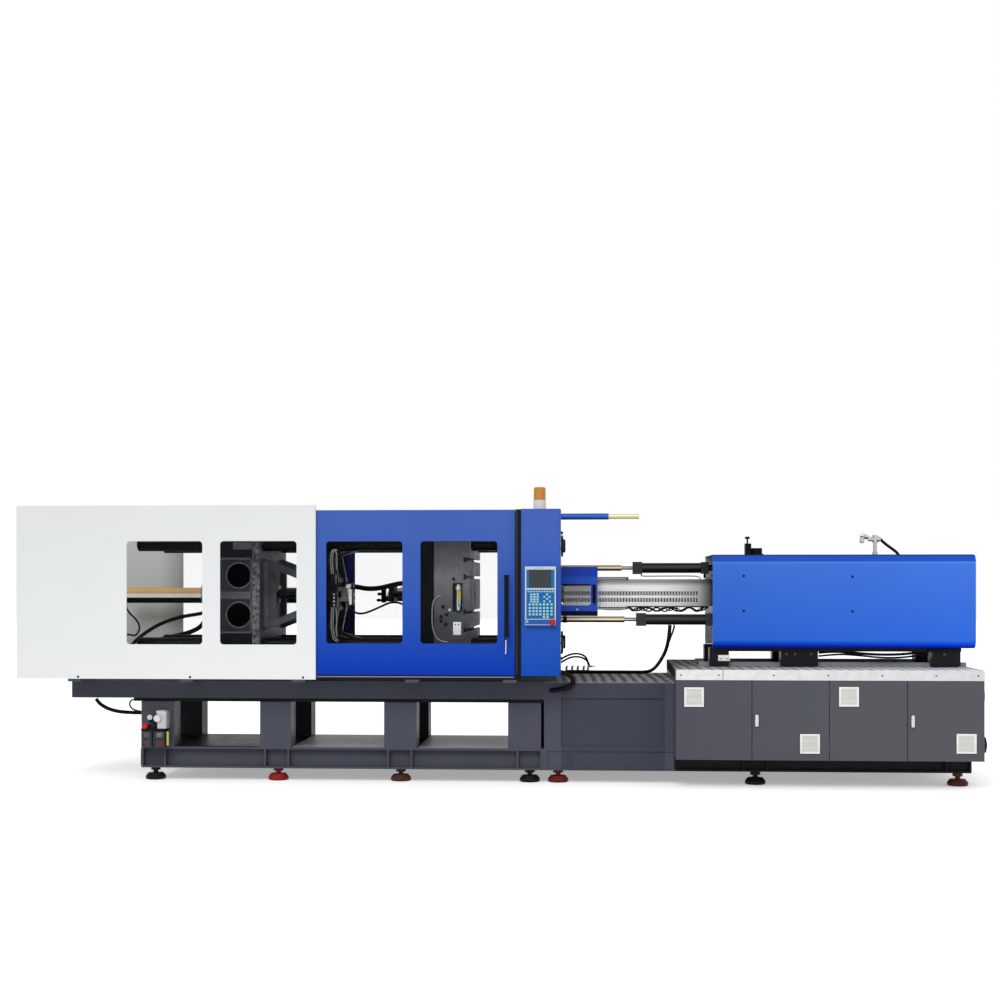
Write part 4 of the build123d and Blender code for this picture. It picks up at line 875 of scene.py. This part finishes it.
for name, points, length, ending in (
    ("tap_loop_1", [
        (476, 652, 926), (520, 660, 950), (570, 672, 974), (630, 690, 984), (692, 706, 970),
        (728, 716, 930), (732, 718, 884),
    ], 310, taps),
    ("tap_loop_2", [
        (476, 652, 892), (524, 662, 924), (580, 676, 950), (640, 694, 956), (696, 708, 940),
        (732, 714, 910), (744, 716, 878),
    ], 306, lever),
):
    hose(name, BASE, points, 17, rubber)
hose("base_hose", BASE, [
    (522, -616, 890), (562, -606, 882), (612, -598, 850), (628, -592, 808), (592, -592, 770),
    (530, -590, 752), (468, -577, 742), (444, -565, 738),
], 38, rubber)

# Corrugated conduit below the left end
ribbed_hose("corrugated_hose", BASE, [
    (-3282, -500, 652), (-3262, -498, 622), (-3225, -494, 592), (-3168, -488, 563),
    (-3090, -478, 545), (-3005, -468, 538), (-2940, -462, 537), (-2887, -460, 537),
], 32, rubber, 9, 0.12)
hose("short_loop", BASE, [
    (-2915, -545, 652), (-2945, -546, 655), (-2980, -546, 644), (-2992, -544, 612),
    (-2978, -540, 580), (-2945, -530, 560), (-2905, -515, 552),
], 13, rubber)

# Hoses seen through the first guard window
for name, points, width, length in (
    ("tray_hose_1", [
        (-3420, 545, 808), (-3400, 570, 930), (-3298, 590, 1069), (-3190, 592, 1160),
        (-3055, 594, 1242), (-2875, 596, 1303), (-2677, 600, 1331), (-2600, 620, 1365),
        (-2585, 660, 1424),
    ], 34, 1160),
    ("tray_hose_2", [
        (-3300, 545, 808), (-3290, 560, 930), (-3225, 585, 1040), (-3100, 588, 1090),
        (-2920, 590, 1130), (-2780, 592, 1165), (-2677, 596, 1220), (-2640, 620, 1320),
        (-2630, 665, 1424),
    ], 44, 1110),
):
    ribbed_hose(name, BASE, points, width, rubber, 12, 0.1)
hose("tray_loop", BASE, [
    (-3379, 660, 1440), (-3372, 610, 1395), (-3330, 592, 1330), (-3258, 590, 1270),
    (-3232, 590, 1193), (-3275, 590, 1128), (-3345, 590, 1150), (-3405, 596, 1120),
    (-3440, 580, 1000), (-3445, 552, 880), (-3440, 545, 808),
], 16, rubber)

# Hoses seen through the first door window
for name, points, width, length in (
    ("window_hose_1", [
        (-1406, 660, 1540), (-1360, 650, 1572), (-1290, 612, 1566), (-1216, 592, 1551),
        (-1110, 590, 1552), (-1004, 590, 1578), (-898, 590, 1602), (-830, 594, 1590),
        (-800, 600, 1500), (-800, 606, 1250), (-800, 606, 1000), (-800, 606, 820), (-800, 596, 760),
        (-800, 560, 742),
    ], 44, 1450),
    ("window_hose_2", [
        (-1406, 660, 1440), (-1370, 652, 1372), (-1313, 615, 1338), (-1260, 592, 1330),
        (-1198, 590, 1344), (-1092, 590, 1390), (-995, 590, 1436), (-898, 590, 1424),
        (-850, 596, 1380), (-845, 604, 1200), (-845, 606, 1000), (-845, 604, 830), (-845, 596, 770),
        (-845, 560, 752),
    ], 18, 1300),
):
    hose(name, BASE, points, width, rubber)

# Lubrication loops on the bracket at the crosshead
plate_white = painted("plate_white", grey(1.0), 0.4, 0.01)
light_hose = painted("light_hose", (0.4, 0.41, 0.42), 0.4, 0.08)
for name, points in (
    ("loop_hose_1", [
        (-1340, -470, 1672), (-1348, -472, 1730), (-1350, -474, 1800), (-1342, -474, 1856),
        (-1320, -472, 1876), (-1302, -470, 1850), (-1296, -470, 1780), (-1301, -470, 1712),
    ]),
    ("loop_hose_2", [
        (-1326, -466, 1672), (-1333, -468, 1740), (-1334, -470, 1810), (-1326, -470, 1858),
        (-1309, -468, 1874), (-1296, -466, 1866),
    ]),
    ("loop_hose_3", [
        (-1340, -470, 1404), (-1342, -472, 1340), (-1347, -474, 1265), (-1338, -474, 1180),
        (-1320, -472, 1128), (-1288, -470, 1124),
    ]),
    ("loop_hose_4", [
        (-1326, -466, 1404), (-1328, -468, 1330), (-1332, -470, 1250), (-1322, -470, 1180),
        (-1306, -468, 1140), (-1284, -466, 1136),
    ]),
    ("loop_hose_5", [
        (-1308, -466, 1404), (-1300, -468, 1350), (-1299, -470, 1290), (-1304, -470, 1220),
        (-1296, -468, 1160),
    ]),
):
    bare_tube(name, "tailstock", points, 11, light_hose)
hose("platen_hose", "moving_platen", [
    (-440, -552, 1500), (-480, -560, 1490), (-506, -566, 1440), (-512, -568, 1340),
    (-508, -566, 1240), (-480, -562, 1160), (-430, -560, 1128), (-390, -552, 1124),
], 9, light_hose)

# Hose of the fittings on the injection cover and those below it
hose("under_hose_1", UNIT, [
    (2590, -385, 1040), (2700, -388, 1052), (2860, -390, 1040), (3075, -392, 1024),
    (3280, -390, 1030), (3400, -388, 1050), (3460, -385, 1045),
], 22, rubber)
hose("under_hose_2", UNIT, [
    (2590, -370, 1012), (2740, -376, 1030), (2900, -380, 1020), (3080, -384, 1000),
    (3260, -380, 1002), (3400, -376, 1025), (3460, -372, 1020),
], 16, rubber)

# Socket screws on the side of the pillar
piece = Piece("pillar_screws")
for z in (1998, 1871, 1177, 1129, 1049, 1001):
    for y in (-640, -690):
        piece.turned((528, y, z), RIGHT, [(0, 13), (3, 13), (4, 10), (14, 10), (16, 8)], 16)
piece.done(BASE, black_plastic, like="front_door_handle")

# Rail strip under the sliding door
piece = Piece("rail_strip")
piece.block(-1396, 164, -846, -841.6, 856, 864, 0.8)
piece.done(BASE, strip_grey, like="tie_bars")
piece = Piece("jamb_strip")
for side in (-1, 1):
    y0, y1 = sorted((side * 865.5, side * 867.5))
    piece.block(181, 195, y0, y1, 880, 2174, 0.6)
piece.done(BASE, jamb_grey, like="door_rails")

# Knobs and release rod of the door handle
piece = Piece("handle_knobs")
for z in (1178, 1640):
    piece.turned((109, -908, z), UP, [(0, 17), (2, 20), (18, 20), (22, 17)], 24)
piece.turned((102, -911, 1046), (0.02, 0, 1), [(0, 6), (108, 6)], 16, 1)
piece.done("front_door", black_plastic, bright_fitting, like="front_door_handle")

# Screws of the fixed guards
piece = Piece("guard_screws")
for x in (-3310, -2406, -1501):
    piece.turned((x, GUARD_FACE, 854), FRONT, [(0, 9), (2, 9), (4.5, 5)], 16)
piece.done(BASE, dark_paint, like="tie_bars")

# Seam and screws of the apron
piece = Piece("apron_trim")
piece.block(1788, 1792, GUARD_FACE - 0.8, GUARD_FACE, 848, 922, 0.3)
for x in (1466, 1759, 2180, 2600, 3010, 3420, 3740):
    piece.turned((x, GUARD_FACE, 884), FRONT, [(0, 6), (1.5, 6), (3.5, 3)], 14)
piece.done(BASE, dark_paint, like="deck")

# Louvred vents of the cabinet doors
vent_spots = [(1490, 637), (2381, 279), (2679, 644), (3572, 287)]
for number, (vx, vz) in enumerate(vent_spots):
    piece = Piece("vent_grille_%d" % (number + 1))
    piece.block(vx + 8, vx + 144, VENT_FACE - 1.2, VENT_FACE, vz + 8, vz + 144, 0.3, 1)
    for a, b, c, d in ((0, 152, 0, 17), (0, 152, 135, 152), (0, 17, 16, 136), (135, 152, 16, 136)):
        piece.block(vx + a, vx + b, VENT_FACE - 7, VENT_FACE, vz + c, vz + d, 2)
    for row in range(13):
        z = vz + 19 + row * 9
        piece.block(vx + 15, vx + 137, VENT_FACE - 6, VENT_FACE - 1, z, z + 6, 1.4)
    piece.done("cabinet_door_%d" % (number + 1), cream, vent_dark, like="beacon_base")

# Frame, bars and keys of the controller
piece = Piece("controller_trim")
for x0, x1, z0, z1 in (
    (253, 495, 1703, 1728), (253, 264, 1316, 1704), (484, 495, 1316, 1704), (262, 486, 1546, 1559),
    (262, 486, 1314, 1320), (253, 495, 1270, 1275), (253, 257, 1274, 1317), (491, 495, 1274, 1317),
):
    piece.block(x0, x1, CASE_FACE - 2.3, CASE_FACE + 0.2, z0, z1, 0.8)
piece.turned((271, CASE_FACE, 1298), FRONT, [(0, 9), (3, 9), (5, 6)], 16, 1)
for x in (330, 352, 374, 396):
    piece.block(x - 8, x + 8, CASE_FACE - 2.8, CASE_FACE - 2.2, 1714, 1719, 0.2, 2)
piece.done(BASE, silver_frame, key_light, case_grey, like="controller_case")

piece = Piece("controller_keys")


def key(x, z, wide, high, paint=0):
    piece.block(x - wide, x + wide, CASE_FACE - 2.5, CASE_FACE, z - high, z + high, 1, paint)


for x in (280, 302, 323, 344, 365, 386, 407, 428, 449, 469):
    key(x, 1532.5, 7, 5.5)
for number, x in enumerate((303, 327, 352)):
    for z in (1510, 1491, 1472, 1454):
        key(x, z, 9, 7, number % 2)
for x, z in ((426, 1510), (404, 1491), (446, 1491), (426, 1476), (403, 1456), (448, 1456)):
    key(x, z, 8, 7)
for z in (1432, 1404, 1379, 1354):
    for x in (291, 319, 345, 373, 402, 429, 460):
        key(x, z, 9, 8, int(x in (402, 429)))
for x in (402, 429):
    key(x, 1332.5, 9, 7.5, 1)
piece.done(BASE, key_light, key_green, like="keypad")

# Lubrication pump with its two tanks
pipe_brown = painted("pipe_brown", (0.17, 0.08, 0.07), 0.3, 0.2)
piece = Piece("lube_station")
piece.block(-2726, -2652, -672, -562, 425, 560, 6)
piece.block(-2738, -2664, -660, -562, 545, 569, 4)
piece.turned((-2722, -672, 510), FRONT, [(0, 27), (10, 30), (14, 30), (18, 24), (22, 24)], 26, 1)
for z in (440, 458, 476, 494, 512, 530):
    piece.block(-2700, -2654, -675, -671, z, z + 7, 1)
piece.turned((-2786, -670, 516), (0.2, -1, 0.1), [(0, 18), (4, 21), (12, 21), (14, 15)], 22, 0)
piece.block(-2800, -2722, -640, -562, 470, 520, 4, 2)
piece.block(-2862, -2668, -664, -562, 404, 426, 4, 2)
for x0, x1, mat in ((-2862, -2774, 3), (-2764, -2668, 4)):
    piece.block(x0 + 26, x1 - 18, -650, -568, 276, 326, 5, mat)
    piece.block(x0 + 22, x1 - 24, -654, -568, 352, 392, 5, 0)
piece.turned((-2834, -636, 426), UP, [(0, 20), (30, 20)], 24, 2)
piece.turned((-2832, -652, 446), FRONT, [(0, 24), (8, 26), (14, 22), (16, 10)], 24, 5)
piece.turned((-2860, -644, 446), RIGHT, [(0, 10), (12, 12), (76, 12), (84, 8)], 16, 2)
piece.block(-2658, -2640, -640, -630, 286, 400, 2, 6)
lube = piece.done(
    BASE, lube_light, bright_fitting, black_plastic, orange_fluid, red_fluid, signal_red,
    strip_yellow, like="lube_unit",
)
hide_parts("lube_unit")
piece = Piece("lube_tanks")
for x0, x1 in ((-2862, -2774), (-2764, -2668)):
    piece.block(x0, x1, -660, -562, 270, 404, 6)
piece.done(BASE, tank_plastic, like="guard_panes")
bare_tube("copper_pipe", BASE, [
    (-2858, -640, 600), (-2860, -642, 614), (-2848, -644, 619), (-2750, -646, 619),
    (-2650, -646, 619), (-2632, -646, 612), (-2627, -646, 596), (-2627, -644, 520),
    (-2627, -642, 464), (-2632, -640, 452), (-2650, -638, 450),
], 5, pipe_brown)

# Details on the moving platen
piece = Piece("platen_lubricator")
piece.block(-346, -268, -556, -550, 1372, 1600, 2, 1)
piece.turned((-296, -576, 1378), UP, [(0, 12), (8, 12), (9, 16), (30, 16), (31, 20)], 20)
piece.turned((-292, -576, 1408), UP, [(0, 17), (20, 17)], 24, 3)
piece.turned((-288, -576, 1428), UP, [(0, 12), (32, 12)], 24, 4)
piece.turned((-288, -576, 1460), UP, [(0, 12), (84, 12)], 24, 2)
piece.block(-308, -301, -590, -560, 1408, 1546, 1)
piece.turned((-296, -576, 1543), UP, [(0, 24), (30, 24), (34, 16), (44, 16), (46, 8)], 20)
piece.block(-326, -270, -566, -555, 1496, 1520, 2, 1)
piece.turned((-338, PLATEN_FACE, 1632), FRONT, [(0, 12), (14, 12), (16, 7), (22, 7)], 16, 1)
piece.turned((-370, PLATEN_FACE, 1383), FRONT, [(0, 11), (2, 11), (4, 8)], 16, 5)
for x, z in ((-440, 1330), (-395, 1345), (-440, 1295), (-404, 1268), (-424, 1408)):
    piece.turned((x, PLATEN_FACE, z), FRONT, [(0, 14), (10, 14), (11, 9), (20, 9)], 6, 1)
piece.done("moving_platen", bright_fitting, black_plastic, strip_yellow, strip_cyan, ground_steel,
           beacon_white, like="tie_bars")
piece = Piece("platen_plate")
piece.block(-342, -278, -553, -550, 1182, 1286, 1)
for x in (-324, -297):
    piece.turned((x, -553, 1266), FRONT, [(0, 6), (1.5, 5)], 12, 1)
piece.done("moving_platen", plate_white, dark_paint, like="beacon_base")

# Bracket and blocks of the lubrication loops
piece = Piece("loop_bracket")
piece.block(-1610, -1318, -400, -392, 1586, 1622, 1.5)
piece.block(-1344, -1312, -404, -394, 1404, 1680, 1.5)
piece.block(-1344, -1312, -480, -404, 1590, 1672, 3, 1)
piece.block(-1346, -1298, -480, -404, 1404, 1526, 3, 1)
for z in (1420, 1450, 1480, 1508):
    piece.turned((-1320, -480, z), FRONT, [(0, 8), (6, 8), (7, 5), (14, 5)], 12, 2)
piece.done("tailstock", dark_paint, bracket_grey, bright_fitting, like="tailstock")

piece = Piece("loop_tag")
piece.block(-1318, -1206, -402, -396, 1566, 1578, 1)
piece.turned((-1212, -402, 1572), FRONT, [(0, 12), (24, 12), (26, 18), (34, 18)], 16, 1)
piece.plate([(-1222, 1552), (-1180, 1548), (-1184, 1424), (-1204, 1419)], -430, -424, 1, 3)
piece.turned((-1200, -430, 1560), UP, [(0, 14), (30, 16), (34, 10)], 14, 1)
piece.done("tailstock", dark_paint, bright_fitting, like="tailstock")

# Post of the rear guard, and a near-black plate on the moving platen's flank that stands for shade
# there, behind the first door window
piece = Piece("guard_posts")
piece.block(-1592, -1462, 672, 690, 806, 2150, 3)
piece.done(BASE, dark_paint, like="door_rails")
piece = Piece("platen_flank_shade_plate")
piece.block(-626, -499, -482, -476, 1090, 1925, 1.5)
piece.done("moving_platen", dark_paint, like="tie_bars")

# Rims, ribs and web of the tailstock casting
piece = Piece("tailstock_trim")
for z in (1662, 1341):
    piece.turned((-2098, TAIL_FACE, z), FRONT, [(0, 97.5), (4, 98), (4, 106), (0, 110)], 40)
for x0, x1, z0, z1, y in (
    (-2262, -1996, 1470, 1500, 509), (-2262, -1996, 1500, 1526, 504),
    (-2262, -1996, 1790, 1806, 506), (-2262, -1996, 1190, 1204, 506),
    (-2004, -1990, 1204, 1470, 506), (-2004, -1990, 1526, 1790, 506),
    (-2144, -1984, 1872, 1930, 516),
):
    piece.block(x0, x1, -y, TAIL_FACE, z0, z1, 2.5)
piece.plate([
    (-1918, 1507 + 262), (-1800, 1507 + 205), (-1812, 1507 + 120), (-1812, 1507 - 118),
    (-1800, 1507 - 200), (-1918, 1507 - 262),
], -388, -372, 1, 4)
for z in (1240, 1774):
    piece.block(-1918, -1880, -398, -392, min(z, 1507), max(z, 1507), 3)
piece.done("tailstock", cast_rib, cast_black, like="tailstock")

# Switch box at the end of the cable tray
piece = Piece("tray_switch")
piece.block(-1410, -1382, 628, 640, 1440, 1560, 1.5, 1)
piece.block(-1386, -1333, 590, 640, 1408, 1604, 5)
for z in (1440, 1500, 1570):
    piece.turned((-1333, 612, z), RIGHT, [(0, 15), (6, 15), (7, 12), (16, 12)], 16, 1)
piece.done(BASE, dark_paint, bright_fitting, like="door_rails")

# Copper and white bars seen through the first door window
piece = Piece("platen_bars")
piece.plate([
    (-1024, 1510), (-870, 1514), (-870, 1572), (-900, 1564), (-962, 1544), (-1024, 1522),
], 592, 612)
piece.block(-1032, -870, 594, 610, 1489, 1507, 2, 1)
piece.block(-1040, -870, 590, 614, 1440, 1487, 3, 2)
piece.turned((-1060, 600, 1428), UP, [(0, 16), (8, 24), (134, 24), (138, 16), (146, 16)], 6, 2)
for z, reach in ((1504, 1117), (1450, 1124)):
    piece.turned((-reach, 602, z), RIGHT, [(0, 5), (5, 12), (26, 15), (34, 10), (70, 10)], 14, 2)
piece.block(-890, -760, 600, 640, 1470, 1530, 4, 2)
piece.block(-800, -760, 560, 640, 700, 1530, 4, 2)
piece.done(BASE, copper, beacon_white, black_plastic, like="door_rails")

# Screws on the injection cover
piece = Piece("cover_screws")
for x, z in ((1984, 1656), (1984, 1376), (2844, 1651), (2844, 1373)):
    for side in (-1, 1):
        piece.turned((x, side * 480, z), (0, side, 0), [(0, 10), (2, 10), (5, 6)], 18)
for z in (1714, 1657, 1567, 1535):
    piece.turned((1738, -460, z), LEFT, [(0, 9), (8, 9), (10, 6)], 12)
piece.done(UNIT, dark_paint, like="injection_cover")

# Fittings on top of the injection cover
piece = Piece("cover_valve")
piece.turned((2980, -20, 1996), (1, 0, -0.35), [(0, 14), (12, 18), (60, 18), (66, 14)], 16)
piece.turned((2990, -20, 1930), (0.1, 0, 1), [(0, 12), (6, 20), (44, 20), (50, 12)], 16)
piece.turned((3098, -20, 1827), UP, [(0, 30), (8, 30), (9, 22), (30, 22), (31, 16), (120, 16)], 24)
piece.done(UNIT, bright_fitting, like="carriage_rods")
piece = Piece("cover_fittings")
piece.turned((3098, -20, 1935), UP, [(0, 26), (52, 26), (54, 20), (62, 20)], 8)
piece.turned((3040, -20, 1962), RIGHT, [
    (0, 20), (30, 20), (32, 24), (92, 24), (94, 18), (104, 18),
], 8)
fittings = piece.done(UNIT, bright_fitting, like="carriage_rods")
hose("fitting_hose", UNIT, [
    (3290, -26, 1827), (3284, -26, 1842), (3250, -26, 1872), (3205, -24, 1904), (3165, -22, 1936),
    (3142, -20, 1962),
], 24, rubber)

# Thin drain pipe at the cover's left edge
bare_tube("drain_pipe", UNIT, [
    (1748, -440, 1262), (1748, -440, 1180), (1749, -440, 1110), (1752, -438, 1085),
], 9, case_grey)

# Brackets and blocks on the carriage shoes
bolt_grey = painted("bolt_grey", (0.07, 0.07, 0.075), 0.4, 0.1)
piece = Piece("shoe_details")
piece.block(1786, 1881, -408, -400, 972, 1020, 2, 1)
for x in (1806, 1860):
    piece.turned((x, -408, 996), FRONT, [(0, 8), (4, 8), (5, 5)], 12, 2)
for x in (2330, 2399, 2526, 3480, 3580):
    piece.turned((x, -400, 1030), FRONT, [(0, 13), (10, 13), (11, 9)], 6, 3)
piece.block(3448, 3712, -412, -400, 1052, 1078, 2)
piece.done(
    UNIT, dark_paint, cream, bright_fitting, bolt_grey, like="injection_carriage",
)

# Heater wires and pipes round the jacket
wire_grey = painted("wire_grey", grey(0.1), 0.4, 0.4, cloud=30.0)
for number, (first_x, pitch, high, low, width, length) in enumerate((
    (1104, 66, 1412, 1352, 12, 760), (1090, 53, 1406, 1362, 9, 760),
    (1130, 87, 1412, 1356, 14, 720),
)):
    scallops = [(1072, -164, 1404)] + [
        (x, -150 - number * 14, high if step % 2 else low)
        for step, x in enumerate(range(first_x, 1712, pitch))
    ] + [(1722, -160, 1400)]
    hose("heater_wire_%d" % (number + 1), UNIT, scallops, width, rubber)
hose("heater_bundle", UNIT, [
    (1068, -160, 1405), (1180, -162, 1409), (1400, -162, 1407), (1600, -162, 1409),
    (1722, -160, 1404),
], 16, rubber)
ribbed_hose("braided_hose", UNIT, [
    (822, -150, 1398), (850, -152, 1390), (940, -152, 1388), (1030, -152, 1388), (1074, -156, 1400),
], 26, wire_grey, 12, 0.14)
piece = Piece("jacket_plate")
piece.block(700, 1072, -118, -96, 1625, 1650, 1.5)
piece.turned((1722, 290, 1640), UP, [(0, 9), (38, 9), (40, 12), (48, 12)], 12, 1)
piece.done(UNIT, wire_grey, black_plastic, like="injection_carriage")
bare_tube("jacket_pipe", UNIT, [
    (1186, 290, 1684), (1186, 290, 1666), (1198, 290, 1658), (1300, 289, 1659), (1480, 288, 1660),
    (1630, 282, 1660), (1668, 250, 1654), (1684, 190, 1640), (1688, 140, 1606),
], 10, case_grey)
piece = Piece("rod_collar")
piece.turned((536, -290, 1303), RIGHT, [
    (0, 25), (3, 31), (11, 31), (13, 25), (17, 25), (19, 31), (27, 31), (30, 25),
], 14)
piece.done(BASE, rubber, like="carriage_cylinders")

# Grip plate and dot of the purge guard
piece = Piece("guard_grip")
piece.block(776, 804, -333, -330, 1436, 1588, 1)
piece.block(528, 761, -332, -328, 1577, 1592, 1)
piece.turned((651, -330, 1383), FRONT, [(0, 7), (2, 7), (3, 5)], 16, 1)
piece.done("purge_guard", black_plastic, beacon_white, like="purge_guard")

# White floor that keeps the object's shadow
floor_mesh = bpy.data.meshes.new("floor")
floor_mesh.from_pydata([(-60, -60, 0), (60, -60, 0), (60, 60, 0), (-60, 60, 0)], [], [(0, 1, 2, 3)])
floor = add("floor", floor_mesh)
ground = Shader("pale_floor")
ground.rough(0.9)
ground.shine(0.0)
seen = ground.nodes.new("ShaderNodeLightPath")
straight = ground.math("MAXIMUM", seen.outputs["Is Camera Ray"], seen.outputs["Is Glossy Ray"])
straight = ground.math("MAXIMUM", straight, seen.outputs["Is Transmission Ray"])
ground.colour(ground.mix(straight, grey(0.62), grey(0.95)))
ground.set("Emission Color", (1.0, 1.0, 1.0, 1.0))
ground.set("Emission Strength", ground.times(straight, 0.35))
floor_mesh.materials.append(ground.material)

# World and lamps
world = bpy.data.worlds.new("studio")
bpy.context.scene.world = world
world.use_nodes = True
nodes, links = world.node_tree.nodes, world.node_tree.links
sky = nodes["Background"]
rays = nodes.new("ShaderNodeLightPath")
either = nodes.new("ShaderNodeMath")
either.operation = "MAXIMUM"
level = nodes.new("ShaderNodeMapRange")
level.inputs["To Min"].default_value = 0.74
level.inputs["To Max"].default_value = 1.0
links.new(rays.outputs["Is Camera Ray"], either.inputs[0])
links.new(rays.outputs["Is Transmission Ray"], either.inputs[1])
links.new(either.outputs[0], level.inputs["Value"])
links.new(level.outputs["Result"], sky.inputs["Strength"])
sky.inputs["Color"].default_value = (1.0, 1.0, 1.0, 1.0)

sun_data = bpy.data.lights.new("soft_sun", "SUN")
sun_data.energy = 1.1
sun_data.angle = math.radians(25)
sun = add("soft_sun", sun_data)
sun.rotation_euler = (math.radians(48), math.radians(-12), 0.0)

bpy.context.scene.view_settings.view_transform = "Standard"
